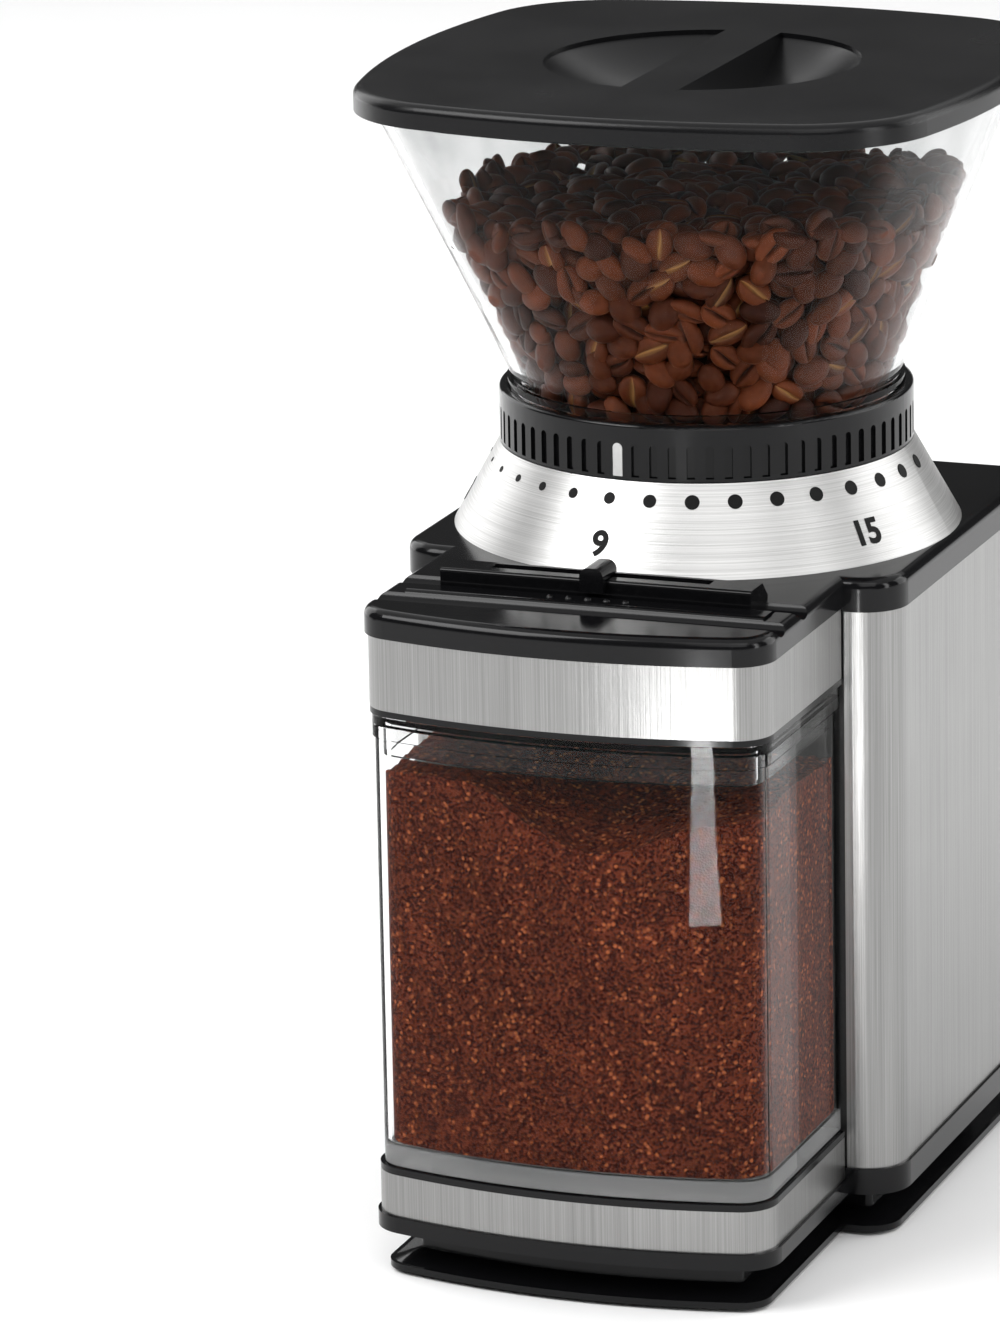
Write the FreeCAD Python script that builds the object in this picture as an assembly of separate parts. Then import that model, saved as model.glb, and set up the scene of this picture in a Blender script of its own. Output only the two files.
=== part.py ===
"""A burr coffee grinder: square bean hopper, grind dial, steel-wrapped motor tower, pull-out grounds chamber.

Millimetres, +Z up, the front of the grinder faces -Y. The origin is on the standing plane, under the middle
of the outer box. The pieces are modelled about the burr axis, and shifted to that origin when exported.
"""
import FreeCAD
import Part
import math
import os

from FreeCAD import Vector

# Outer plan, measured from the burr axis
LID_HALF = 75.0
LID_SIDE_R = 210.0
LID_CORNER_R = 32.0
FRONT_HALF = 49.0
FRONT_MID_Y = -109.5
FRONT_ARC_R = 175.0
FRONT_CORNER_R = 9.0
STEP_Y = -46.0
REAR_HALF = 61.3
REAR_BACK_Y = 69.0
REAR_CORNER_R = 10.0
LEAST_CORNER_R = 1.5
TOTAL_HEIGHT = 273.0

# Clearances: between moving pieces, between fitted pieces, and in shaft bearings
GAP = 0.3
FIT = 0.1
RUNNING = 0.05

# Base and its feet
FOOT_R = 7.0
FOOT_DROP = 1.0
FOOT_INSET = 21.0
FLANGE_INSET = 1.8
FLANGE_EDGE = 1.6
FLANGE_RISE = 2.4
WAIST_INSET = 9.0
LIP_BOTTOM_Z = 11.3
LIP_PROUD = 0.8
BASE_WALL = 2.5
BASE_PLATE_THICK = 2.0
SHEET = 0.8
LOWER_BAND_Z = 15.1
LOWER_BAND_HEIGHT = 10.3
SHELF_THICK = 1.6
REAR_LIP_TOP_Z = 17.6

# Head, tower and deck
UPPER_BAND_Z = 138.1
UPPER_BAND_HEIGHT = 17.4
HEAD_FLOOR = 2.0
HEAD_RIM = 1.5
HEAD_WALL = 2.2
TOWER_WALL = 2.5
WRAP_TOP_DROP = 1.4
DECK_RISE = 6.5
DECK_PLATE = 3.4
DECK_WALL = 3.0
DECK_EDGE_R = 2.4
REAR_RIM_PROUD = 0.6
GROOVE_DEPTH = 2.2
GROOVE_WIDTH = 7.4
COLUMN_R = 4.5
COLUMN_INSET = 9.0

# Dial skirt, hopper and collar
SKIRT_BOTTOM_R = 60.7
SKIRT_TOP_R = 49.4
SKIRT_TOP_Z = 182.3
COLLAR_R = 49.4
COLLAR_HEIGHT = 13.2
COLLAR_WALL = 3.0
FLUTES = 70
FLUTE_WIDTH = 1.9
FLUTE_DEPTH = 0.9
FLUTE_MARGIN = 0.7
COLLAR_BAND = 4.6
DIAL_STEPS = 18
DIAL_PITCH_DEG = 11.15
POINTER_STEP = 9
POINTER_WIDTH = 2.6
HOPPER_TOP_HALF = 71.0
HOPPER_SIDE_R = 190.0
HOPPER_CORNER_R = 30.0
HOPPER_WALL = 2.2
HOPPER_LIP_R = 47.5
HOPPER_LIP_HEIGHT = 2.0
FUNNEL_RISE = 4.0
THROAT_R = 16.0
LID_RIM_HEIGHT = 5.8
LID_TOP_THICK = 2.4
LID_EDGE_R = 2.2
LID_SKIRT_DEPTH = 2.2
LID_PLUG_INSET = 3.2
GRIP_R = 37.6
GRIP_DEPTH = 13.0
GRIP_EDGE = 1.2
GRIP_BAR_WIDTH = 14.0
GRIP_BAR_DEG = 90.0

# Grounds chamber
CHAMBER_INSET = 0.5
CHAMBER_RIM_STEP = 0.6
CHAMBER_WALL = 2.2
CHAMBER_FLOOR = 5.0
CHAMBER_LID_THICK = 2.4
CHAMBER_RIM = 3.0
CHAMBER_SKIRT = 7.5
INLET_HALF = 15.0
INLET_FRONT_Y = -80.0
INLET_BACK_Y = -51.0

# Grinding set on the burr axis
CUP_R = 30.3
CUP_WALL = 3.0
CUP_FLOOR_Z = 145.0
CUP_FLOOR = 3.0
CUP_TOP_DROP = 4.3
TUBE_R = 46.0
TUBE_TOP_DROP = 1.3
FLANGE_R = 47.0
FLANGE_THICK = 3.0
FLANGE_SCREW_R = 38.5
BURR_R = 24.0
BURR_THICK = 6.0
BURR_GAP = 0.75
LOWER_BURR_TOP_Z = 165.0
UPPER_BURR_BORE_R = 11.5
BURR_TEETH = 20
IMPELLER_R = 28.0
IMPELLER_Z = 149.0
SPINDLE_R = 4.0
ADJUST_RING_BORE_R = 21.0
ADJUST_RING_THICK = 3.7
TAB_COUNT = 3
TAB_HALF_WIDTH = 4.0
CARRIER_LUG_R = 26.0
CARRIER_LUG_DROP = 1.2
HOPPER_TAB_R = 40.0

# Gear train and motor
GEAR_MODULE = 1.0
GEAR_TEETH = 57
PINION_TEETH = 15
GEAR_ADDENDUM = 0.8
GEAR_DEDENDUM = 1.1
GEAR_BACKLASH = 0.22
PRESSURE_DEG = 20.0
GEAR_Z = 130.0
GEAR_FACE = 10.0
GEAR_PLATE_Z = 121.0
GEAR_PLATE_THICK = 4.0
MOTOR_SHAFT_R = 3.0
STATOR_HALF = 27.0
STATOR_Z = 62.0
STATOR_HEIGHT = 36.0
ARMATURE_R = 16.5
MOTOR_AIR_GAP = 0.5
BRACKET_THICK = 3.0
BRACKET_RISE = 14.0
COMMUTATOR_R = 9.0
COMMUTATOR_DROP = 14.0
COMMUTATOR_LENGTH = 10.0
COMMUTATOR_SLIT = 8.0
FAN_R = 20.0
FAN_RISE = 7.0
FAN_HEIGHT = 6.0
FAN_DISC = 1.5
BOLT_INSET = 4.0
BOLT_BITE = 6.0
PLATE_SCREW_BITE = 10.0
WINDING_OVERHANG = 6.0
BRUSH_LIFT = 1.0
BRUSH_HEIGHT = 5.0
BRUSH_HALF = 3.0
HOLDER_HEIGHT = 8.0
HOLDER_HALF = 4.5

# Controls on the deck
START_FRONT_Y = -87.6
START_BACK_Y = -79.2
START_HALF = 44.0
START_TRAVEL = 1.5
START_PROUD = 0.6
START_FLANGE = 1.2
TRACK_HALF = 38.0
TRACK_FRONT_Y = -79.0
TRACK_BACK_Y = -67.0
TRACK_HEIGHT = 4.2
SLOT_MID_Y = -73.5
SLOT_WIDTH = 3.6
SLIDER_TRAVEL = 25.0
SLIDER_HALF = 2.9
SLIDER_HEIGHT = 2.9
SLIDER_ROUND = 2.2
SLIDER_HOOK = 1.8
SLIDER_HOOK_LIFT = 1.6
BOARD_Z = 150.8
BOARD_THICK = 1.6
BOARD_HALF = 42.0
BOARD_FRONT_Y = -99.0
BOARD_BACK_Y = -54.0

# Screws
SCREW_R = 1.5
SCREW_HEAD_R = 2.9
SCREW_HEAD_HEIGHT = 1.6

# Cord inlet in the back of the tower
CORD_X = 38.0
CORD_Z = 42.0
CORD_WIDTH = 6.6
CORD_THICK = 3.6

# Worked out from the sizes above
FRONT_REACH = -FRONT_MID_Y + LIP_PROUD
AXIS_Y = (FRONT_REACH - LID_HALF) / 2
BAND_BACK_Y = STEP_Y - REAR_RIM_PROUD - GAP
FRONT_ARC_Y = FRONT_MID_Y + FRONT_ARC_R
LOWER_BAND_TOP_Z = LOWER_BAND_Z + LOWER_BAND_HEIGHT
SHELF_TOP_Z = LOWER_BAND_TOP_Z + SHELF_THICK
UPPER_BAND_TOP_Z = UPPER_BAND_Z + UPPER_BAND_HEIGHT
WRAP_TOP_Z = UPPER_BAND_TOP_Z - WRAP_TOP_DROP
DECK_TOP_Z = UPPER_BAND_TOP_Z + DECK_RISE
HEAD_BOTTOM_Z = UPPER_BAND_Z - HEAD_RIM
DECK_UNDER_Z = DECK_TOP_Z - DECK_PLATE
COLLAR_Z = SKIRT_TOP_Z + GAP
CUP_TOP_Z = SKIRT_TOP_Z - CUP_TOP_DROP
TUBE_TOP_Z = SKIRT_TOP_Z - TUBE_TOP_DROP
COLLAR_TOP_Z = COLLAR_Z + COLLAR_HEIGHT
LID_BOTTOM_Z = TOTAL_HEIGHT - LID_RIM_HEIGHT
HOPPER_FOOT_R = COLLAR_R - COLLAR_WALL - FIT
ADJUST_RING_Z = TUBE_TOP_Z + GAP
ADJUST_RING_TOP_Z = ADJUST_RING_Z + ADJUST_RING_THICK
HOPPER_FLOOR_Z = ADJUST_RING_TOP_Z + FIT + HOPPER_WALL
HOPPER_LIP_Z = COLLAR_TOP_Z + FIT
MOTOR_Y = GEAR_MODULE * (GEAR_TEETH + PINION_TEETH) / 2
BOARD_TOP_Z = BOARD_Z + BOARD_THICK
POINTER_DEG = (POINTER_STEP - (DIAL_STEPS + 1) / 2) * DIAL_PITCH_DEG


def box(x0, x1, y0, y1, z0, z1):
    """A block between two corners."""
    return Part.makeBox(x1 - x0, y1 - y0, z1 - z0, Vector(x0, y0, z0))


def cyl(radius, z0, z1, x=0.0, y=0.0):
    """An upright cylinder."""
    return Part.makeCylinder(radius, z1 - z0, Vector(x, y, z0))


def ring(outer, inner, z0, z1, x=0.0, y=0.0):
    """An upright tube."""
    return cyl(outer, z0, z1, x, y).cut(cyl(inner, z0, z1, x, y))


def revolved(points):
    """A body of revolution about the burr axis, from (radius, height) points."""
    corners = [Vector(r, 0, z) for r, z in points]
    face = Part.Face(Part.makePolygon(corners + corners[:1]))
    return face.revolve(Vector(0, 0, 0), Vector(0, 0, 1), 360)


def turned(shape, degrees, x=0.0, y=0.0):
    """A copy turned about an upright axis."""
    copy = shape.copy()
    copy.rotate(Vector(x, y, 0), Vector(0, 0, 1), degrees)
    return copy


def around(shape, count, start_deg=0.0, x=0.0, y=0.0):
    """Copies spaced evenly about an upright axis, as one compound."""
    step = 360.0 / count
    return Part.Compound([turned(shape, start_deg + i * step, x, y) for i in range(count)])


def cut_all(shape, tools):
    """The shape less each tool in turn."""
    for tool in tools:
        shape = shape.cut(tool)
    return shape


def fuse_all(shapes):
    """The shapes joined into one."""
    return shapes[0].multiFuse(shapes[1:]).removeSplitter()


def polar(radius, degrees):
    """A plan point at an angle from +X."""
    return radius * math.cos(math.radians(degrees)), radius * math.sin(math.radians(degrees))


def arc(start, middle, end):
    """An arc edge through three points."""
    return Part.Arc(start, middle, end).toShape()


def front_wire(offset, back_y, z):
    """The narrow front's outline: straight sides, round corners and a bowed front, grown by offset."""
    half = FRONT_HALF + offset
    radius = FRONT_ARC_R + offset
    corner = max(FRONT_CORNER_R + offset, LEAST_CORNER_R)
    corner_x = half - corner
    corner_y = FRONT_ARC_Y - math.sqrt((radius - corner) ** 2 - corner_x ** 2)
    reach = math.hypot(corner_x, corner_y - FRONT_ARC_Y)
    away_x, away_y = corner_x / reach, (corner_y - FRONT_ARC_Y) / reach
    mid_deg = math.degrees(math.atan2(away_y, away_x)) / 2
    mid_x, mid_y = polar(corner, mid_deg)

    def at(x, y):
        return Vector(x, y, z)

    side = at(half, corner_y)
    corner_mid = at(corner_x + mid_x, corner_y + mid_y)
    meets_front = at(radius * away_x, FRONT_ARC_Y + radius * away_y)
    edges = [
        Part.makeLine(at(half, back_y), side),
        arc(side, corner_mid, meets_front),
        arc(meets_front, at(0, FRONT_ARC_Y - radius), at(-meets_front.x, meets_front.y)),
        arc(at(-meets_front.x, meets_front.y), at(-corner_mid.x, corner_mid.y), at(-half, corner_y)),
        Part.makeLine(at(-half, corner_y), at(-half, back_y)),
        Part.makeLine(at(-half, back_y), at(half, back_y)),
    ]
    return Part.Wire(edges)


def rear_wire(offset, z):
    """The wide rear's outline, a rectangle with round corners, grown by offset."""
    half = REAR_HALF + offset
    low, high = STEP_Y - offset, REAR_BACK_Y + offset
    r = max(REAR_CORNER_R + offset, LEAST_CORNER_R)
    far = r * (1 - math.sqrt(0.5))

    def at(x, y):
        return Vector(x, y, z)

    edges = [
        Part.makeLine(at(-half + r, low), at(half - r, low)),
        arc(at(half - r, low), at(half - far, low + far), at(half, low + r)),
        Part.makeLine(at(half, low + r), at(half, high - r)),
        arc(at(half, high - r), at(half - far, high - far), at(half - r, high)),
        Part.makeLine(at(half - r, high), at(-half + r, high)),
        arc(at(-half + r, high), at(-half + far, high - far), at(-half, high - r)),
        Part.makeLine(at(-half, high - r), at(-half, low + r)),
        arc(at(-half, low + r), at(-half + far, low + far), at(-half + r, low)),
    ]
    return Part.Wire(edges)


def extruded(wire, height):
    """A solid prism on a flat wire."""
    return Part.Face(wire).extrude(Vector(0, 0, height))


def front_prism(offset, z0, z1, back_y=STEP_Y):
    """A prism on the front's outline."""
    return extruded(front_wire(offset, back_y, z0), z1 - z0)


def rear_prism(offset, z0, z1):
    """A prism on the rear's outline."""
    return extruded(rear_wire(offset, z0), z1 - z0)


def square_corners(half, side_r, corner_r):
    """Corner centre, and the point where a side arc meets a corner arc, of a square with bowed sides."""
    drop = side_r - half
    span = side_r - corner_r
    centre = (-drop + math.sqrt(2 * span ** 2 - drop ** 2)) / 2
    meet_x = side_r * centre / span
    meet_y = side_r * (centre + drop) / span - drop
    return centre, meet_x, meet_y


def bowed_square_wire(half, side_r, corner_r, z):
    """A square outline of four bowed sides and four round corners."""
    centre, meet_x, meet_y = square_corners(half, side_r, corner_r)
    tip = centre + corner_r * math.sqrt(0.5)
    edges = []
    for quarter in range(4):
        turn = quarter * 90
        start, side_mid, meet, corner_mid, end = [
            turned(Part.Vertex(x, y, z), turn).Point
            for x, y in ((-meet_x, meet_y), (0, half), (meet_x, meet_y), (tip, tip), (meet_y, meet_x))
        ]
        edges += [arc(end, corner_mid, meet), arc(meet, side_mid, start)]
    return Part.Wire(edges)


def matching_circle_wire(radius, half, side_r, corner_r, z):
    """A circle cut into the same eight arcs as the bowed square, so that the two loft cleanly."""
    _, meet_x, meet_y = square_corners(half, side_r, corner_r)
    side_deg = math.degrees(math.atan2(meet_y, meet_x))
    edges = []
    for quarter in range(4):
        turn = quarter * 90
        start, side_mid, meet, corner_mid, end = [
            Vector(*polar(radius, turn + deg), z)
            for deg in (180 - side_deg, 90, side_deg, 45, 90 - side_deg)
        ]
        edges += [arc(end, corner_mid, meet), arc(meet, side_mid, start)]
    return Part.Wire(edges)


def bowed_square(half, side_r, corner_r, z0, z1):
    """A prism on the bowed square."""
    return extruded(bowed_square_wire(half, side_r, corner_r, z0), z1 - z0)


def top_filleted(shape, z, radius):
    """The shape with its edges at height z rounded."""
    edges = [e for e in shape.Edges if abs(e.BoundBox.ZMin - z) < 1e-6 and abs(e.BoundBox.ZMax - z) < 1e-6]
    return shape.makeFillet(radius, edges)


def screw(x, y, under_head_z, length, head_up=True):
    """A plain pan-head screw, its head above or below the plane that it clamps."""
    sign = 1 if head_up else -1
    head = Part.makeCylinder(SCREW_HEAD_R, SCREW_HEAD_HEIGHT, Vector(x, y, under_head_z), Vector(0, 0, sign))
    shank = Part.makeCylinder(SCREW_R, length, Vector(x, y, under_head_z), Vector(0, 0, -sign))
    return head.fuse(shank).removeSplitter()


def screw_hole(x, y, z0, z1):
    """The clearance for a screw's shank."""
    return cyl(SCREW_R + FIT, z0, z1, x, y)


def rear_posts():
    """Places of the four columns inside the tower."""
    x = REAR_HALF - COLUMN_INSET
    return [(sx * x, y) for sx in (-1, 1) for y in (STEP_Y + COLUMN_INSET, REAR_BACK_Y - COLUMN_INSET)]


def base_posts():
    """Places of the four screw posts inside the base."""
    front_x = FRONT_HALF - FOOT_INSET - FOOT_R
    rear_x = REAR_HALF - FOOT_INSET - FOOT_R
    front_y, back_y = FRONT_MID_Y + 2 * FOOT_INSET, REAR_BACK_Y - 2 * FOOT_INSET
    return [(-front_x, front_y), (front_x, front_y), (-rear_x, back_y), (rear_x, back_y)]


def foot_places():
    """Places of the four feet."""
    front_x, rear_x = FRONT_HALF - FOOT_INSET, REAR_HALF - FOOT_INSET
    front_y, back_y = FRONT_MID_Y + FOOT_INSET + FOOT_R, REAR_BACK_Y - FOOT_INSET
    return [(-front_x, front_y), (front_x, front_y), (-rear_x, back_y), (rear_x, back_y)]


# Base

def base_cavity(extra=0.0):
    """The room inside the base, grown by extra, from below its edge to the lowest ceiling."""
    inset = WAIST_INSET + BASE_WALL - extra
    front = front_prism(-inset, 0, LIP_BOTTOM_Z, STEP_Y + 2 * inset)
    return front.fuse(rear_prism(-inset, 0, LIP_BOTTOM_Z)).removeSplitter()


def flared(wire_at, height_z):
    """A plinth layer: a thin edge on the flange, then a slope up to the waist."""
    edge_z = FOOT_DROP + FLANGE_EDGE
    slope_z = edge_z + FLANGE_RISE
    edge = extruded(wire_at(-FLANGE_INSET, FOOT_DROP), FLANGE_EDGE)
    slope = Part.makeLoft([wire_at(-FLANGE_INSET - 1, edge_z), wire_at(-WAIST_INSET, slope_z)], True, True)
    waist = extruded(wire_at(-WAIST_INSET, slope_z), height_z - slope_z)
    return [edge, slope, waist]


def make_base():
    """The moulded plinth: flange, waist, the chamber's shelf in front and the tower's seat behind."""
    inside_y = STEP_Y + REAR_CORNER_R
    front = flared(lambda offset, z: front_wire(offset, inside_y, z), LIP_BOTTOM_Z)
    rear = flared(lambda offset, z: rear_wire(offset, z), LIP_BOTTOM_Z)
    front_top = [
        front_prism(LIP_PROUD, LIP_BOTTOM_Z, LOWER_BAND_Z, inside_y),
        front_prism(-SHEET - FIT, LOWER_BAND_Z, LOWER_BAND_TOP_Z, BAND_BACK_Y),
        front_prism(0, LOWER_BAND_TOP_Z, SHELF_TOP_Z, BAND_BACK_Y),
    ]
    rear_top = [rear_prism(REAR_RIM_PROUD, LIP_BOTTOM_Z, REAR_LIP_TOP_Z)]
    base = fuse_all(front + rear + front_top + rear_top)
    front_room = front_prism(
        -WAIST_INSET - BASE_WALL, LIP_BOTTOM_Z, SHELF_TOP_Z - BASE_WALL, BAND_BACK_Y - BASE_WALL
    )
    base = cut_all(base, [base_cavity(), front_room])
    plate_top = FOOT_DROP + BASE_PLATE_THICK + FIT
    ceilings = [SHELF_TOP_Z - BASE_WALL if y < STEP_Y else LIP_BOTTOM_Z for _, y in base_posts()]
    posts = [
        cyl(SCREW_HEAD_R + 1, plate_top, z + FIT, x, y) for (x, y), z in zip(base_posts(), ceilings)
    ]
    holes = [screw_hole(x, y, plate_top, REAR_LIP_TOP_Z - BASE_WALL) for x, y in base_posts()]
    return cut_all(fuse_all([base] + posts), holes)


def make_base_plate():
    """The flat cover that closes the base from below."""
    plate = base_cavity(-FIT).common(box(-200, 200, -200, 200, FOOT_DROP, FOOT_DROP + BASE_PLATE_THICK))
    for x, y in base_posts():
        plate = plate.cut(screw_hole(x, y, 0, LIP_BOTTOM_Z))
        plate = plate.cut(cyl(SCREW_HEAD_R + FIT, 0, FOOT_DROP + SCREW_HEAD_HEIGHT, x, y))
    return plate


def make_feet():
    """Four rubber feet under the base plate."""
    return [cyl(FOOT_R, 0, FOOT_DROP, x, y) for x, y in foot_places()]


def make_base_screws():
    """Four screws that hold the base plate, sunk in its counterbores."""
    under_z = FOOT_DROP + SCREW_HEAD_HEIGHT
    return [screw(x, y, under_z, LIP_BOTTOM_Z - under_z, head_up=False) for x, y in base_posts()]


def make_band(z0, z1):
    """A steel strip bent round the front, open at the back."""
    outer = front_prism(0, z0, z1, BAND_BACK_Y)
    return outer.cut(front_prism(-SHEET, z0, z1, BAND_BACK_Y))


# Tower, head and deck

def make_steel_wrap():
    """The steel sheet round the tower, open in front behind the chamber."""
    sheet = rear_prism(0, REAR_LIP_TOP_Z, WRAP_TOP_Z).cut(rear_prism(-SHEET, REAR_LIP_TOP_Z, WRAP_TOP_Z))
    mouth = FRONT_HALF + GAP
    opening = box(-mouth, mouth, STEP_Y - 1, STEP_Y + REAR_CORNER_R, REAR_LIP_TOP_Z, WRAP_TOP_Z)
    return cut_all(sheet, [opening, cord_hole(FIT)])


def make_tower():
    """The moulded motor tower inside the steel wrap, with its columns and floor."""
    outer = -SHEET - FIT
    inner = outer - TOWER_WALL
    tower = rear_prism(outer, REAR_LIP_TOP_Z, WRAP_TOP_Z)
    tower = tower.cut(rear_prism(inner, REAR_LIP_TOP_Z + TOWER_WALL, WRAP_TOP_Z))
    columns = [cyl(COLUMN_R, REAR_LIP_TOP_Z, GEAR_PLATE_Z, x, y) for x, y in rear_posts()]
    tower = fuse_all([tower] + columns)
    holes = [screw_hole(x, y, GEAR_PLATE_Z - 12, GEAR_PLATE_Z) for x, y in rear_posts()]
    window = box(
        -INLET_HALF, INLET_HALF, STEP_Y - 1, STEP_Y + REAR_CORNER_R, HEAD_BOTTOM_Z + HEAD_FLOOR, WRAP_TOP_Z
    )
    return cut_all(tower, holes + [window, cord_hole(FIT)])


def make_head():
    """The tray that hangs over the chamber and carries the upper band."""
    back_y = BAND_BACK_Y
    rim = front_prism(0, HEAD_BOTTOM_Z, UPPER_BAND_Z, back_y)
    core = front_prism(-SHEET - FIT, UPPER_BAND_Z, UPPER_BAND_TOP_Z, back_y)
    room = front_prism(
        -SHEET - FIT - HEAD_WALL, HEAD_BOTTOM_Z + HEAD_FLOOR, UPPER_BAND_TOP_Z, back_y
    )
    outlet = box(
        -INLET_HALF, INLET_HALF, INLET_FRONT_Y, back_y, HEAD_BOTTOM_Z, HEAD_BOTTOM_Z + HEAD_FLOOR
    )
    return cut_all(rim.fuse(core).removeSplitter(), [room, outlet])


def board_posts():
    """Places of the posts that carry the control board."""
    return [(sx * (BOARD_HALF - 3.5), y) for sx in (-1, 1) for y in (BOARD_FRONT_Y + 4, BOARD_BACK_Y - 4)]


def flange_screws():
    """Places of the screws through the burr housing's flange."""
    return [polar(FLANGE_SCREW_R, 90 + 120 * i) for i in range(3)]


def deck_groove(y):
    """A round-bottomed channel across the front of the deck."""
    radius = (GROOVE_WIDTH ** 2 / 4 + GROOVE_DEPTH ** 2) / (2 * GROOVE_DEPTH)
    wide = FRONT_HALF + 2 * LIP_PROUD
    start = Vector(-wide, y, DECK_TOP_Z - GROOVE_DEPTH + radius)
    return Part.makeCylinder(radius, 2 * wide, start, Vector(1, 0, 0))


def make_deck():
    """The black top cover, with its grooves, its control slots and the burr housing's seat."""
    inside_y = STEP_Y + REAR_CORNER_R
    front = front_prism(LIP_PROUD, UPPER_BAND_TOP_Z, DECK_TOP_Z, inside_y)
    rear = rear_prism(REAR_RIM_PROUD, WRAP_TOP_Z, DECK_TOP_Z)
    deck = top_filleted(front, DECK_TOP_Z, DECK_EDGE_R).fuse(top_filleted(rear, DECK_TOP_Z, DECK_EDGE_R))
    deck = deck.removeSplitter()
    room = front_prism(LIP_PROUD - DECK_WALL, WRAP_TOP_Z, DECK_UNDER_Z, inside_y + DECK_WALL)
    rear_room = rear_prism(REAR_RIM_PROUD - DECK_WALL, WRAP_TOP_Z, DECK_UNDER_Z)
    deck = cut_all(deck, [room, rear_room])
    bosses = [cyl(COLUMN_R, DECK_UNDER_Z - 6, DECK_UNDER_Z, x, y) for x, y in flange_screws()]
    posts = [cyl(SCREW_R + 1.5, BOARD_TOP_Z, DECK_UNDER_Z, x, y) for x, y in board_posts()]
    deck = fuse_all([deck] + bosses + posts)
    under_track = box(-TRACK_HALF, TRACK_HALF, START_BACK_Y, TRACK_BACK_Y, DECK_UNDER_Z, DECK_TOP_Z)
    start_slot = box(-START_HALF, START_HALF, START_FRONT_Y, START_BACK_Y, DECK_UNDER_Z, DECK_TOP_Z)
    hole = cyl(CUP_R + CUP_WALL + GAP, DECK_UNDER_Z, DECK_TOP_Z)
    screws = [screw_hole(x, y, DECK_UNDER_Z - 6, DECK_TOP_Z) for x, y in flange_screws()]
    board = [screw_hole(x, y, BOARD_TOP_Z, BOARD_TOP_Z + 5) for x, y in board_posts()]
    rear_groove = deck_groove(START_BACK_Y + GROOVE_WIDTH / 2).cut(under_track)
    grooves = [deck_groove(START_FRONT_Y - GROOVE_WIDTH / 2), rear_groove]
    return cut_all(deck, grooves + [start_slot, slider_slot(DECK_UNDER_Z, DECK_TOP_Z), hole] + screws + board)


def make_dial_skirt():
    """The steel cone that carries the grind marks."""
    lip_r = TUBE_R + GAP
    outer = [(SKIRT_BOTTOM_R, DECK_TOP_Z), (SKIRT_TOP_R, SKIRT_TOP_Z), (lip_r, SKIRT_TOP_Z)]
    inner = [
        (lip_r, SKIRT_TOP_Z - SHEET),
        (SKIRT_TOP_R - SHEET, SKIRT_TOP_Z - SHEET),
        (SKIRT_BOTTOM_R - SHEET, DECK_TOP_Z),
    ]
    return revolved(outer + inner)


# Grinding set

def make_burr_housing():
    """The grinding cup with its flange on the deck and the tube that carries the adjusting ring."""
    cup_out = CUP_R + CUP_WALL
    flange_top = DECK_TOP_Z + FLANGE_THICK
    bush_r = SPINDLE_R + CUP_WALL
    profile = [
        (bush_r, CUP_FLOOR_Z),
        (cup_out, CUP_FLOOR_Z),
        (cup_out, DECK_TOP_Z),
        (FLANGE_R, DECK_TOP_Z),
        (FLANGE_R, flange_top),
        (TUBE_R, flange_top),
        (TUBE_R, TUBE_TOP_Z),
        (TUBE_R - CUP_WALL, TUBE_TOP_Z),
        (TUBE_R - CUP_WALL, flange_top),
        (cup_out, flange_top),
        (cup_out, CUP_TOP_Z),
        (CUP_R, CUP_TOP_Z),
        (CUP_R, CUP_FLOOR_Z + CUP_FLOOR),
        (bush_r, CUP_FLOOR_Z + CUP_FLOOR),
    ]
    outlet_half = INLET_HALF - 2 * CUP_WALL
    outlet = box(
        -outlet_half, outlet_half, -CUP_R - 2 * CUP_WALL, 0, CUP_FLOOR_Z + CUP_FLOOR, DECK_UNDER_Z - CUP_WALL
    )
    outlet = outlet.cut(cyl(CUP_R - CUP_WALL, CUP_FLOOR_Z, DECK_TOP_Z))
    holes = [screw_hole(x, y, DECK_TOP_Z, flange_top) for x, y in flange_screws()]
    return cut_all(revolved(profile), [outlet] + holes)


def make_housing_screws():
    """Three screws that hold the burr housing on the deck."""
    under_z = DECK_TOP_Z + FLANGE_THICK
    return [screw(x, y, under_z, under_z - DECK_UNDER_Z + 4) for x, y in flange_screws()]


def make_chute():
    """The duct that leads the grounds forward and down to the chamber's inlet."""
    half = INLET_HALF - FIT
    back_y = -CUP_R - CUP_WALL - GAP
    high_z = DECK_UNDER_Z - GAP
    low_z = BOARD_Z - GAP
    tall = box(-half, half, BOARD_BACK_Y + GAP, back_y, HEAD_BOTTOM_Z + HEAD_FLOOR + GAP, high_z)
    low = box(-half, half, INLET_FRONT_Y + FIT, back_y, HEAD_BOTTOM_Z + HEAD_FLOOR + GAP, low_z)
    drop = box(-half, half, INLET_FRONT_Y + FIT, INLET_BACK_Y, HEAD_BOTTOM_Z, low_z)
    duct = fuse_all([tall, low, drop])
    inner = half - CUP_WALL
    front_y = INLET_FRONT_Y + FIT + CUP_WALL
    way = box(-inner, inner, front_y, back_y, CUP_FLOOR_Z + CUP_FLOOR, low_z - CUP_WALL / 2)
    rise_y = BOARD_BACK_Y + GAP + CUP_WALL
    rise = box(-inner, inner, rise_y, back_y, CUP_FLOOR_Z + CUP_FLOOR, high_z - CUP_WALL)
    fall = box(-inner, inner, front_y, INLET_BACK_Y - CUP_WALL, HEAD_BOTTOM_Z, low_z - CUP_WALL / 2)
    return cut_all(duct, [way, rise, fall])


def burr_grooves(z0, z1):
    """The radial cutting grooves of a burr face."""
    groove = box(UPPER_BURR_BORE_R, BURR_R + 1, -1.1, 1.1, z0, z1)
    groove.rotate(Vector(UPPER_BURR_BORE_R, 0, 0), Vector(0, 0, 1), 20)
    return around(groove, BURR_TEETH)


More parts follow.
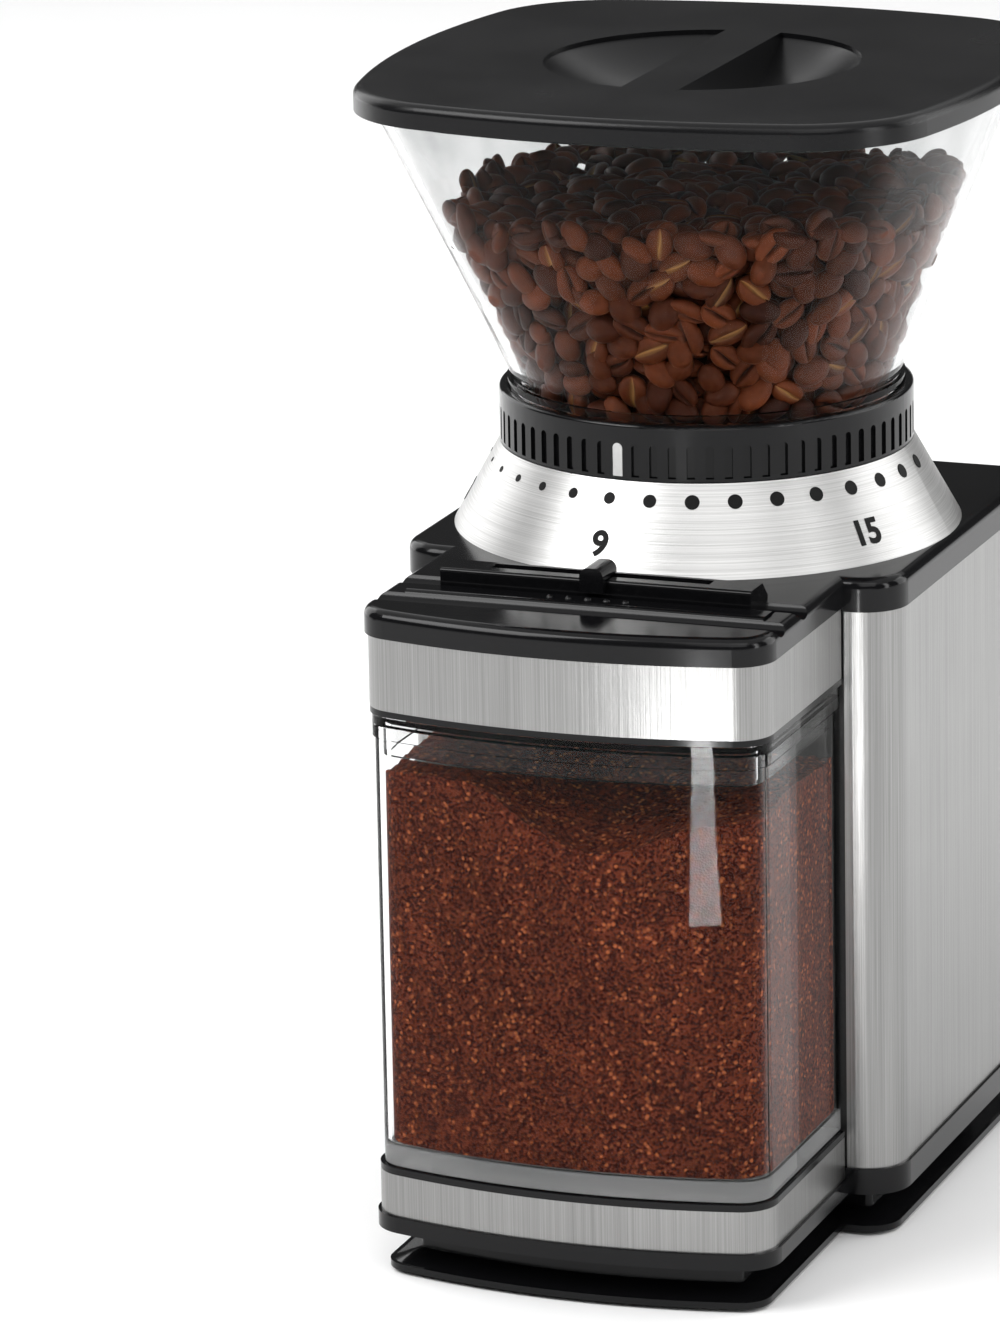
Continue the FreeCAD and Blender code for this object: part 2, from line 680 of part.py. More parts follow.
def make_lower_burr():
    """The driven burr on the spindle."""
    under_z = LOWER_BURR_TOP_Z - BURR_THICK
    burr = ring(BURR_R, SPINDLE_R + FIT, under_z, LOWER_BURR_TOP_Z)
    return burr.cut(burr_grooves(LOWER_BURR_TOP_Z - 1.5, LOWER_BURR_TOP_Z))


def make_upper_burr():
    """The fixed burr, held in the carrier."""
    z0 = LOWER_BURR_TOP_Z + BURR_GAP
    burr = ring(BURR_R, UPPER_BURR_BORE_R, z0, z0 + BURR_THICK)
    return burr.cut(burr_grooves(z0, z0 + 1.5))


def carrier_lug(grow=0.0):
    """The block that keys the carrier to the adjusting ring, grown for the ring's slot."""
    half = TAB_HALF_WIDTH + grow
    z1 = ADJUST_RING_TOP_Z - CARRIER_LUG_DROP
    if grow:
        z1 = ADJUST_RING_TOP_Z
    return box(CARRIER_LUG_R - 3 - grow, CARRIER_LUG_R + 3 + grow, -half, half, CUP_TOP_Z - 2, z1)


def make_burr_carrier():
    """The carrier that holds the upper burr and screws up and down in the cup."""
    burr_z = LOWER_BURR_TOP_Z + BURR_GAP
    seat_z = burr_z + BURR_THICK + FIT
    outer = CUP_R - GAP
    profile = [
        (BURR_R + FIT, burr_z + 1.5),
        (outer, burr_z + 1.5),
        (outer, CUP_TOP_Z),
        (THROAT_R + 3, CUP_TOP_Z),
        (UPPER_BURR_BORE_R + 1, seat_z),
        (BURR_R + FIT, seat_z),
    ]
    lugs = around(carrier_lug(), TAB_COUNT, 30)
    return fuse_all([revolved(profile)] + lugs.Solids)


def hopper_tab(grow=0.0):
    """The tab under the hopper that turns the adjusting ring, grown for the ring's slot."""
    half = TAB_HALF_WIDTH + grow
    z0 = ADJUST_RING_Z + GAP - grow
    return box(HOPPER_TAB_R - 2 - grow, HOPPER_TAB_R + 2 + grow, -half, half, z0, HOPPER_FLOOR_Z)


def make_adjusting_ring():
    """The ring that the hopper turns and that turns the carrier."""
    plate = ring(TUBE_R, ADJUST_RING_BORE_R, ADJUST_RING_Z, ADJUST_RING_TOP_Z)
    slots = around(hopper_tab(GAP), TAB_COUNT, 90).Solids + around(carrier_lug(GAP), TAB_COUNT, 30).Solids
    return cut_all(plate, slots)


def make_impeller():
    """The paddle wheel that sweeps the grounds to the outlet."""
    top_z = LOWER_BURR_TOP_Z - BURR_THICK - FIT
    disc = cyl(BURR_R, top_z - 2, top_z)
    hub = cyl(SPINDLE_R + 3, IMPELLER_Z, top_z)
    paddle = box(SPINDLE_R, IMPELLER_R, -1.2, 1.2, IMPELLER_Z, top_z - 1)
    wheel = fuse_all([disc, hub] + around(paddle, 6).Solids)
    return wheel.cut(cyl(SPINDLE_R + FIT, IMPELLER_Z, top_z))


def make_spindle():
    """The upright shaft that turns the lower burr."""
    return cyl(SPINDLE_R, GEAR_PLATE_Z, LOWER_BURR_TOP_Z - 2)


def make_burr_nut():
    """The nut that holds the lower burr on the spindle."""
    nut_z = LOWER_BURR_TOP_Z + FIT
    nut = cyl(SPINDLE_R + 3, nut_z, nut_z + 3)
    sides = [turned(box(SPINDLE_R + 2, SPINDLE_R + 9, -9, 9, nut_z, nut_z + 3), 60 * i) for i in range(6)]
    stud = cyl(SPINDLE_R - 1.5, LOWER_BURR_TOP_Z - 2 + FIT, nut_z)
    return fuse_all([cut_all(nut, sides), stud])


def make_spindle_bushes():
    """The two plain bearings of the spindle."""
    outer = SPINDLE_R + CUP_WALL - FIT
    upper = ring(outer, SPINDLE_R + RUNNING, CUP_FLOOR_Z, CUP_FLOOR_Z + CUP_FLOOR)
    lower = ring(outer, SPINDLE_R + RUNNING, GEAR_PLATE_Z, GEAR_PLATE_Z + GEAR_PLATE_THICK)
    return [upper, lower]


# Gear train

def involute_point(base_r, radius, side, half_angle):
    """A point on an involute flank that is half_angle from the tooth's middle at the base circle."""
    roll = math.acos(min(1.0, base_r / radius))
    spread = half_angle - (math.tan(roll) - roll)
    return polar(radius, math.degrees(side * spread))


def make_gear(teeth, bore_r, z0, z1, start_deg):
    """A spur gear with stub involute teeth, its first tooth at start_deg from +X."""
    pitch_r = GEAR_MODULE * teeth / 2
    base_r = pitch_r * math.cos(math.radians(PRESSURE_DEG))
    root_r, tip_r = pitch_r - GEAR_DEDENDUM, pitch_r + GEAR_ADDENDUM
    tooth = GEAR_MODULE * math.pi / 2 - GEAR_BACKLASH
    pressure = math.radians(PRESSURE_DEG)
    half_angle = tooth / (2 * pitch_r) + math.tan(pressure) - pressure
    low_r = max(base_r, root_r)
    radii = [low_r, (low_r + pitch_r) / 2, pitch_r, tip_r]
    flank = [involute_point(base_r, r, -1, half_angle) for r in radii]
    root = polar(root_r, math.degrees(-half_angle))
    profile = [root] + flank + [(x, -y) for x, y in reversed(flank)] + [(root[0], -root[1])]
    points = []
    for i in range(teeth):
        turn = math.radians(start_deg + 360.0 * i / teeth)
        cos, sin = math.cos(turn), math.sin(turn)
        points += [Vector(x * cos - y * sin, x * sin + y * cos, z0) for x, y in profile]
    blank = extruded(Part.makePolygon(points + points[:1]), z1 - z0)
    return blank.cut(cyl(bore_r, z0, z1))


def make_drive_gear():
    """The large gear on the spindle, with lightening holes, a tooth gap towards the pinion."""
    gear = make_gear(GEAR_TEETH, SPINDLE_R + FIT, GEAR_Z, GEAR_Z + GEAR_FACE, 90 + 180.0 / GEAR_TEETH)
    hub_r = SPINDLE_R + 4
    rim_r = GEAR_MODULE * GEAR_TEETH / 2 - 5
    window = cyl((rim_r - hub_r) / 2 - 1.5, GEAR_Z, GEAR_Z + GEAR_FACE, (rim_r + hub_r) / 2, 0)
    return gear.cut(around(window, 5))


def make_pinion():
    """The motor's pinion, a tooth towards the drive gear."""
    pinion = make_gear(PINION_TEETH, MOTOR_SHAFT_R + FIT, GEAR_Z, GEAR_Z + GEAR_FACE, -90)
    pinion.translate(Vector(0, MOTOR_Y, 0))
    return pinion


def make_gear_plate():
    """The plate on the tower's columns that carries the spindle and the motor."""
    z1 = GEAR_PLATE_Z + GEAR_PLATE_THICK
    plate = rear_prism(-SHEET - FIT - TOWER_WALL - GAP, GEAR_PLATE_Z, z1)
    hang_z = bracket_top_z()
    posts = [cyl(COLUMN_R, hang_z, GEAR_PLATE_Z, x, y) for x, y in motor_bolt_places()]
    plate = fuse_all([plate] + posts)
    holes = [screw_hole(x, y, GEAR_PLATE_Z, z1) for x, y in rear_posts()]
    holes += [screw_hole(x, y, hang_z, hang_z + 8) for x, y in motor_bolt_places()]
    spindle = cyl(SPINDLE_R + CUP_WALL, GEAR_PLATE_Z, z1)
    shaft = cyl(MOTOR_SHAFT_R + CUP_WALL, GEAR_PLATE_Z, z1, 0, MOTOR_Y)
    return cut_all(plate, holes + [spindle, shaft])


def make_plate_screws():
    """Four screws that hold the gear plate on the columns."""
    under_z = GEAR_PLATE_Z + GEAR_PLATE_THICK
    return [screw(x, y, under_z, GEAR_PLATE_THICK + PLATE_SCREW_BITE) for x, y in rear_posts()]


# Motor

def bracket_top_z():
    """The top of the motor's upper bracket."""
    return STATOR_Z + STATOR_HEIGHT + BRACKET_RISE + BRACKET_THICK


def motor_bolt_places():
    """Places of the long motor bolts, in the stator's corners."""
    reach = STATOR_HALF - BOLT_INSET
    return [(sx * reach, MOTOR_Y + sy * reach) for sx in (-1, 1) for sy in (-1, 1)]


def make_stator():
    """The laminated stator with its bore, bolt holes and two winding windows."""
    z1 = STATOR_Z + STATOR_HEIGHT
    low, high = MOTOR_Y - STATOR_HALF, MOTOR_Y + STATOR_HALF
    core = box(-STATOR_HALF, STATOR_HALF, low, high, STATOR_Z, z1)
    bore = cyl(ARMATURE_R + MOTOR_AIR_GAP, STATOR_Z, z1, 0, MOTOR_Y)
    holes = [screw_hole(x, y, STATOR_Z, z1) for x, y in motor_bolt_places()]
    return cut_all(core, [bore, winding_window(1), winding_window(-1)] + holes)


def winding_window(side, shrink=0.0):
    """The space beside the bore that a field winding passes through."""
    x0, x1 = ARMATURE_R - 3 + shrink, STATOR_HALF - BOLT_INSET - shrink
    half = STATOR_HALF - 3 * BOLT_INSET - shrink
    z0 = STATOR_Z - WINDING_OVERHANG + 2 * shrink
    z1 = STATOR_Z + STATOR_HEIGHT + WINDING_OVERHANG - 2 * shrink
    block = box(min(side * x0, side * x1), max(side * x0, side * x1), MOTOR_Y - half, MOTOR_Y + half, z0, z1)
    return block.cut(cyl(ARMATURE_R + MOTOR_AIR_GAP + shrink, z0, z1, 0, MOTOR_Y))


def make_windings():
    """The two field windings."""
    return [winding_window(side, FIT) for side in (-1, 1)]


def make_armature():
    """The slotted armature core on the motor shaft."""
    z0, z1 = STATOR_Z, STATOR_Z + STATOR_HEIGHT
    core = ring(ARMATURE_R, MOTOR_SHAFT_R + FIT, z0, z1, 0, MOTOR_Y)
    slot = box(ARMATURE_R - 5, ARMATURE_R + 1, MOTOR_Y - 1, MOTOR_Y + 1, z0, z1)
    return core.cut(around(slot, 12, 0, 0, MOTOR_Y))


def commutator_z():
    """The lower end of the commutator."""
    return STATOR_Z - COMMUTATOR_DROP


def make_commutator():
    """The commutator below the armature."""
    z0 = commutator_z()
    body = ring(COMMUTATOR_R, MOTOR_SHAFT_R + FIT, z0, z0 + COMMUTATOR_LENGTH, 0, MOTOR_Y)
    slit_z = z0 + COMMUTATOR_SLIT
    slit = box(COMMUTATOR_R - 1.5, COMMUTATOR_R + 1, MOTOR_Y - 0.4, MOTOR_Y + 0.4, z0, slit_z)
    return body.cut(around(slit, 24, 0, 0, MOTOR_Y))


def make_motor_shaft():
    """The motor shaft, from the lower bracket to the pinion."""
    return cyl(MOTOR_SHAFT_R, lower_bracket_z() - 2, GEAR_Z + GEAR_FACE, 0, MOTOR_Y)


def make_fan():
    """The cooling fan between the stator and the upper bracket."""
    z0 = STATOR_Z + STATOR_HEIGHT + FAN_RISE
    z1 = z0 + FAN_HEIGHT
    disc = cyl(FAN_R, z0, z0 + FAN_DISC, 0, MOTOR_Y)
    hub = cyl(MOTOR_SHAFT_R + 3, z0, z1, 0, MOTOR_Y)
    blade = box(MOTOR_SHAFT_R + 2, FAN_R, MOTOR_Y - 0.7, MOTOR_Y + 0.7, z0, z1)
    wheel = fuse_all([disc, hub] + around(blade, 9, 0, 0, MOTOR_Y).Solids)
    return wheel.cut(cyl(MOTOR_SHAFT_R + FIT, z0, z1, 0, MOTOR_Y))


def lower_bracket_z():
    """The underside of the motor's lower bracket."""
    return commutator_z() - 2 - BRACKET_THICK


def make_bracket(z0, leg_z0, leg_z1):
    """A motor end bracket: a cross plate with a bearing seat and four legs on the stator's corners."""
    low, high = MOTOR_Y - STATOR_HALF, MOTOR_Y + STATOR_HALF
    plate = box(-STATOR_HALF, STATOR_HALF, low, high, z0, z0 + BRACKET_THICK)
    notch = STATOR_HALF - 9
    sides = [box(-notch, notch, low, low + 9, z0, z0 + BRACKET_THICK)]
    sides += [box(-notch, notch, high - 9, high, z0, z0 + BRACKET_THICK)]
    plate = cut_all(plate, sides)
    legs = [cyl(COLUMN_R - 0.5, leg_z0, leg_z1, x, y) for x, y in motor_bolt_places()]
    bracket = fuse_all([plate] + legs)
    hole_z0, hole_z1 = min(z0, leg_z0), max(z0 + BRACKET_THICK, leg_z1)
    holes = [screw_hole(x, y, hole_z0, hole_z1) for x, y in motor_bolt_places()]
    seat = cyl(MOTOR_SHAFT_R + CUP_WALL, z0, z0 + BRACKET_THICK, 0, MOTOR_Y)
    return cut_all(bracket, holes + [seat])


def make_upper_bracket():
    """The bracket that hangs the motor from the gear plate."""
    z0 = bracket_top_z() - BRACKET_THICK
    return make_bracket(z0, STATOR_Z + STATOR_HEIGHT, z0)


def make_lower_bracket():
    """The bracket that carries the shaft's lower end and the brushes."""
    z0 = lower_bracket_z()
    return make_bracket(z0, z0 + BRACKET_THICK, STATOR_Z)


def make_motor_bushes():
    """The two plain bearings of the motor shaft."""
    seat = MOTOR_SHAFT_R + CUP_WALL - FIT
    starts = (lower_bracket_z(), bracket_top_z() - BRACKET_THICK)
    return [ring(seat, MOTOR_SHAFT_R + RUNNING, z, z + BRACKET_THICK, 0, MOTOR_Y) for z in starts]


def make_motor_bolts():
    """Four long bolts that clamp the motor under the gear plate."""
    z0 = lower_bracket_z()
    return [screw(x, y, z0, bracket_top_z() + BOLT_BITE - z0, head_up=False) for x, y in motor_bolt_places()]


def make_brush_holders():
    """Two holders on the lower bracket."""
    z0 = lower_bracket_z() + BRACKET_THICK
    z1 = commutator_z() + HOLDER_HEIGHT
    holders = []
    for side in (-1, 1):
        x0, x1 = COMMUTATOR_R + 2, STATOR_HALF - 1
        low, high = sorted((side * x0, side * x1))
        block = box(low, high, MOTOR_Y - HOLDER_HALF, MOTOR_Y + HOLDER_HALF, z0, z1)
        holders.append(block.cut(brush(side, FIT)))
    return holders


def brush(side, grow=0.0):
    """A carbon brush, grown for its holder's slot."""
    x0, x1 = COMMUTATOR_R + GAP - grow, STATOR_HALF - 6 + grow
    low, high = sorted((side * x0, side * x1))
    half = BRUSH_HALF + grow
    z0 = commutator_z() + BRUSH_LIFT - grow
    return box(low, high, MOTOR_Y - half, MOTOR_Y + half, z0, z0 + BRUSH_HEIGHT + 2 * grow)


def make_brushes():
    """The two carbon brushes."""
    return [brush(side) for side in (-1, 1)]


# Controls

def slider_slot(z0, z1):
    """The long slot that the cup slider's stem runs in."""
    reach = SLIDER_TRAVEL + SLIDER_HALF / 2 + GAP
    half = SLOT_WIDTH / 2
    return box(-reach, reach, SLOT_MID_Y - half, SLOT_MID_Y + half, z0, z1)


def make_start_bar():
    """The press bar across the deck, with its raised dots and its catch under the deck."""
    y0, y1 = START_FRONT_Y + GAP, START_BACK_Y - GAP
    half = START_HALF - GAP
    top_z = DECK_TOP_Z + START_PROUD
    flange_top = DECK_UNDER_Z - GAP
    flange_z = flange_top - START_FLANGE
    bar = box(-half, half, y0, y1, flange_z, top_z)
    long_edges = [e for e in bar.Edges if e.BoundBox.ZMin > top_z - 1e-6 and e.BoundBox.XLength > half]
    bar = bar.makeFillet(1.6, long_edges)
    catch = box(-half - 1.2, half + 1.2, y0 - 1, y1 + 1, flange_z, flange_top)
    bumps = []
    middle = (y0 + y1) / 2
    for i in range(-2, 3):
        bump = Part.makeSphere(1.0, Vector(4.6 * i, middle, top_z - 0.4))
        bumps.append(bump)
    return fuse_all([bar, catch] + bumps)


def make_slider_track():
    """The raised bar that the cup slider runs along."""
    z1 = DECK_TOP_Z + TRACK_HEIGHT
    bar = box(-TRACK_HALF, TRACK_HALF, TRACK_FRONT_Y, TRACK_BACK_Y, DECK_TOP_Z, z1)
    back = [e for e in bar.Edges if e.BoundBox.ZMin > z1 - 1e-6 and e.BoundBox.YMin > TRACK_BACK_Y - 1e-6]
    bar = bar.makeChamfer(TRACK_HEIGHT - 0.6, back)
    front = [
        e
        for e in bar.Edges
        if e.BoundBox.ZMin > z1 - 1e-6 and e.BoundBox.YMax < TRACK_FRONT_Y + 1e-6
    ]
    bar = bar.makeFillet(0.8, front)
    return bar.cut(slider_slot(DECK_TOP_Z, z1))


def make_cup_slider():
    """The thumb tab, hooked over the front of the track, and its stem."""
    z0 = DECK_TOP_Z + TRACK_HEIGHT + GAP
    z1 = z0 + SLIDER_HEIGHT
    hook_y = TRACK_FRONT_Y - GAP
    front_y = hook_y - SLIDER_HOOK
    hook = box(-SLIDER_HALF, SLIDER_HALF, front_y, hook_y, DECK_TOP_Z + SLIDER_HOOK_LIFT, z1)
    block = box(-SLIDER_HALF, SLIDER_HALF, front_y, SLOT_MID_Y + SLOT_WIDTH / 2, z0, z1)
    block = block.fuse(hook).removeSplitter()
    top = [e for e in block.Edges if e.BoundBox.ZMin > z1 - 1e-6 and e.BoundBox.YLength > SLIDER_HALF]
    block = block.makeFillet(SLIDER_ROUND, top)
    half = SLOT_WIDTH / 2 - GAP
    stem = box(-SLIDER_HALF / 2, SLIDER_HALF / 2, SLOT_MID_Y - half, SLOT_MID_Y + half, BOARD_TOP_Z + 1.5, z0)
    return fuse_all([block, stem])


def make_control_board():
    """The circuit board under the deck."""
    z1 = BOARD_TOP_Z - FIT
    board = box(-BOARD_HALF, BOARD_HALF, BOARD_FRONT_Y, BOARD_BACK_Y, BOARD_Z, z1)
    return cut_all(board, [screw_hole(x, y, BOARD_Z, z1) for x, y in board_posts()])


def make_board_screws():
    """Four screws that hold the board under its posts."""
    return [screw(x, y, BOARD_Z, BOARD_THICK + 4, head_up=False) for x, y in board_posts()]


def make_slide_sensor():
    """The slide potentiometer that reads the cup slider."""
    half_x = SLIDER_TRAVEL + SLIDER_HALF + 5
    z1 = DECK_UNDER_Z - 1
    body = box(-half_x, half_x, SLOT_MID_Y - 3.6, SLOT_MID_Y + 3.6, BOARD_TOP_Z, z1)
    return body.cut(slider_slot(BOARD_TOP_Z + 1, z1))


def make_start_switch():
    """The small push switch under the press bar."""
    middle = (START_FRONT_Y + START_BACK_Y) / 2
    press_z = DECK_UNDER_Z - GAP - START_FLANGE - START_TRAVEL
    body = box(-3, 3, middle - 3, middle + 3, BOARD_TOP_Z, press_z - 1)
    return body.fuse(cyl(1.6, press_z - 1, press_z - FIT, 0, middle)).removeSplitter()


# Hopper and lid

def make_hopper():
    """The clear hopper: a round foot in the collar, opening into a bowed square."""
    top_z = LID_BOTTOM_Z
    wall_z = HOPPER_LIP_Z + HOPPER_LIP_HEIGHT
    square = (HOPPER_TOP_HALF, HOPPER_SIDE_R, HOPPER_CORNER_R)
    inner_square = tuple(size - HOPPER_WALL for size in square)
    inner_r = HOPPER_FOOT_R - HOPPER_WALL
    outer = Part.makeLoft(
        [matching_circle_wire(HOPPER_FOOT_R, *square, wall_z), bowed_square_wire(*square, top_z)], True, True
    )
    inner = Part.makeLoft(
        [matching_circle_wire(inner_r, *inner_square, wall_z), bowed_square_wire(*inner_square, top_z)],
        True,
        True,
    )
    foot = revolved(
        [
            (inner_r, HOPPER_FLOOR_Z),
            (HOPPER_FOOT_R, HOPPER_FLOOR_Z),
            (HOPPER_FOOT_R, HOPPER_LIP_Z),
            (HOPPER_LIP_R, HOPPER_LIP_Z),
            (HOPPER_LIP_R, wall_z),
            (inner_r, wall_z),
        ]
    )
    return fuse_all([outer.cut(inner), foot])


def make_hopper_floor():
    """The funnel floor plugged into the hopper's foot, with its throat and turning tabs."""
    throat_out = THROAT_R + HOPPER_WALL
    plug_r = HOPPER_FOOT_R - HOPPER_WALL - FIT
    under_z = HOPPER_FLOOR_Z - HOPPER_WALL
    throat_z = ADJUST_RING_Z + GAP
    funnel = revolved(
        [
            (throat_out, under_z),
            (HOPPER_FOOT_R, under_z),
            (HOPPER_FOOT_R, HOPPER_FLOOR_Z),
            (plug_r, HOPPER_FLOOR_Z),
            (plug_r, HOPPER_FLOOR_Z + FUNNEL_RISE),
            (THROAT_R, HOPPER_FLOOR_Z),
            (THROAT_R, throat_z),
            (throat_out, throat_z),
        ]
    )
    return fuse_all([funnel] + around(hopper_tab(), TAB_COUNT, 90).Solids)


def flute_cutter(width):
    """A round-topped upright groove in the collar's face, straight ahead."""
    z0 = COLLAR_Z + FLUTE_MARGIN
    z1 = COLLAR_TOP_Z - COLLAR_BAND - width / 2
    face_y = -COLLAR_R + FLUTE_DEPTH
    block = box(-width / 2, width / 2, -COLLAR_R - 1, face_y, z0, z1)
    tip = Part.makeCylinder(width / 2, FLUTE_DEPTH + 1, Vector(0, -COLLAR_R - 1, z1), Vector(0, 1, 0))
    return block.fuse(tip).removeSplitter()


def make_collar():
    """The fluted ring round the hopper's foot."""
    body = ring(COLLAR_R, COLLAR_R - COLLAR_WALL, COLLAR_Z, COLLAR_TOP_Z)
    edges = [
        e
        for e in body.Edges
        if abs(e.BoundBox.ZMin - COLLAR_TOP_Z) < 1e-6 and e.BoundBox.XLength > 2 * COLLAR_R - 1
    ]
    body = body.makeFillet(0.8, edges)
    step = 360.0 / FLUTES
    flutes = [turned(flute_cutter(FLUTE_WIDTH), POINTER_DEG + i * step) for i in range(1, FLUTES)]
    body = body.cut(Part.Compound(flutes))
    return body.cut(turned(flute_cutter(POINTER_WIDTH), POINTER_DEG))


def make_pointer():
    """The white mark set into the collar, against the dial's ninth step."""
    mark = flute_cutter(POINTER_WIDTH - 2 * FIT).common(ring(COLLAR_R, COLLAR_R - 2, COLLAR_Z, COLLAR_TOP_Z))
    return turned(mark, POINTER_DEG)


def make_lid():
    """The hopper's lid, with a round grip hollow and a finger bar across it."""
    lid = bowed_square(LID_HALF, LID_SIDE_R, LID_CORNER_R, LID_BOTTOM_Z, TOTAL_HEIGHT)
    lid = top_filleted(lid, TOTAL_HEIGHT, LID_EDGE_R)
    under = tuple(size - HOPPER_WALL for size in (LID_HALF, LID_SIDE_R, LID_CORNER_R))
    lid = lid.cut(bowed_square(*under, LID_BOTTOM_Z, TOTAL_HEIGHT - LID_TOP_THICK))
    rim = (HOPPER_TOP_HALF, HOPPER_SIDE_R, HOPPER_CORNER_R)
    plug = tuple(size - HOPPER_WALL - LID_PLUG_INSET for size in rim)
    plug_in = tuple(size - 2 for size in plug)
    skirt_z = LID_BOTTOM_Z - LID_SKIRT_DEPTH
    skirt = bowed_square(*plug, skirt_z, TOTAL_HEIGHT - 1)
    skirt = skirt.cut(bowed_square(*plug_in, skirt_z, TOTAL_HEIGHT - 1))
    rest_z = LID_BOTTOM_Z + FIT
    seat = bowed_square(*rim, rest_z, TOTAL_HEIGHT - 1).cut(bowed_square(*plug_in, rest_z, TOTAL_HEIGHT - 1))
    bowl_depth = GRIP_DEPTH - GRIP_EDGE
    sphere_r = (GRIP_R ** 2 + bowl_depth ** 2) / (2 * bowl_depth)
    centre = Vector(0, 0, TOTAL_HEIGHT + sphere_r - GRIP_DEPTH)
    low_z = TOTAL_HEIGHT - 2 * GRIP_DEPTH
    bowl = Part.makeSphere(sphere_r, centre).common(cyl(GRIP_R, low_z, TOTAL_HEIGHT + 1))
    shell = Part.makeSphere(sphere_r + LID_TOP_THICK, centre)
    shell = shell.common(cyl(GRIP_R + LID_TOP_THICK, low_z, TOTAL_HEIGHT - 0.5))
    half = GRIP_BAR_WIDTH / 2
    reach = GRIP_R + 1
    bar = box(-reach, reach, -half, half, low_z, TOTAL_HEIGHT)
    bar = bar.common(Part.makeSphere(sphere_r + LID_TOP_THICK / 2, centre))
    hollow = half - LID_TOP_THICK
    under_bar = box(-reach, reach, -hollow, hollow, low_z, TOTAL_HEIGHT - LID_TOP_THICK)
    lid = fuse_all([lid, skirt, seat, shell]).cut(bowl)
    lid = lid.fuse(turned(bar, GRIP_BAR_DEG)).removeSplitter()
    return lid.cut(turned(under_bar, GRIP_BAR_DEG))


# Grounds chamber

def chamber_back_y():
    """The back of the chamber, just clear of the tower's front."""
    return STEP_Y - 2 * GAP


def make_chamber():
    """The clear box that catches the grounds, with a thicker rim."""
    z0 = SHELF_TOP_Z + GAP
    z1 = HEAD_BOTTOM_Z - GAP - CHAMBER_LID_THICK
    back_y = chamber_back_y()
    walls = front_prism(-CHAMBER_INSET - CHAMBER_RIM_STEP, z0, z1, back_y)
    rim = front_prism(-CHAMBER_INSET, z1 - CHAMBER_RIM, z1, back_y)
    room = front_prism(-CHAMBER_INSET - CHAMBER_WALL, z0 + CHAMBER_FLOOR, z1, back_y - CHAMBER_WALL)
    return fuse_all([walls, rim]).cut(room)


def make_chamber_lid():
    """The clear lid of the chamber, with the inlet that the chute drops into."""
    z1 = HEAD_BOTTOM_Z - GAP
    z0 = z1 - CHAMBER_LID_THICK + FIT
    plate = front_prism(-CHAMBER_INSET, z0, z1, chamber_back_y())
    wall = -CHAMBER_INSET - CHAMBER_WALL - GAP
    back_y = chamber_back_y() - CHAMBER_WALL - GAP
    skirt = front_prism(wall, z0 - CHAMBER_SKIRT, z0, back_y)
    skirt = skirt.cut(front_prism(wall - 1.5, z0 - CHAMBER_SKIRT, z0, back_y - 1.5))
    inlet = box(-INLET_HALF, INLET_HALF, INLET_FRONT_Y, INLET_BACK_Y, z0, z1)
    return plate.fuse(skirt).removeSplitter().cut(inlet)


# Cord inlet

def cord_hole(grow=0.0):
    """The oblong hole through the tower's back and the steel wrap."""
    return oblong(CORD_WIDTH + 4 + 2 * grow, CORD_THICK + 4 + 2 * grow, REAR_BACK_Y - 8, REAR_BACK_Y + 2)


def oblong(width, height, y0, y1):
    """A flat bar with round ends, lying along Y at the cord inlet."""
    r = height / 2
    half = width / 2 - r
    middle = box(CORD_X - half, CORD_X + half, y0, y1, CORD_Z - r, CORD_Z + r)
    ends = [
        Part.makeCylinder(r, y1 - y0, Vector(CORD_X + s * half, y0, CORD_Z), Vector(0, 1, 0)) for s in (-1, 1)
    ]
    return fuse_all([middle] + ends)


def make_cord_gland():
    """The grommet in the back, shaped for a flat twin lead."""
    wall_y = REAR_BACK_Y - SHEET - FIT - TOWER_WALL
    body = oblong(CORD_WIDTH + 4, CORD_THICK + 4, wall_y - 3, REAR_BACK_Y + 0.8)
    outside = oblong(CORD_WIDTH + 8, CORD_THICK + 8, REAR_BACK_Y + FIT, REAR_BACK_Y + 2.2)
    inside = oblong(CORD_WIDTH + 7, CORD_THICK + 7, wall_y - 3, wall_y - FIT)
    return fuse_all([body, outside, inside]).cut(oblong(CORD_WIDTH, CORD_THICK, wall_y - 4, REAR_BACK_Y + 3))


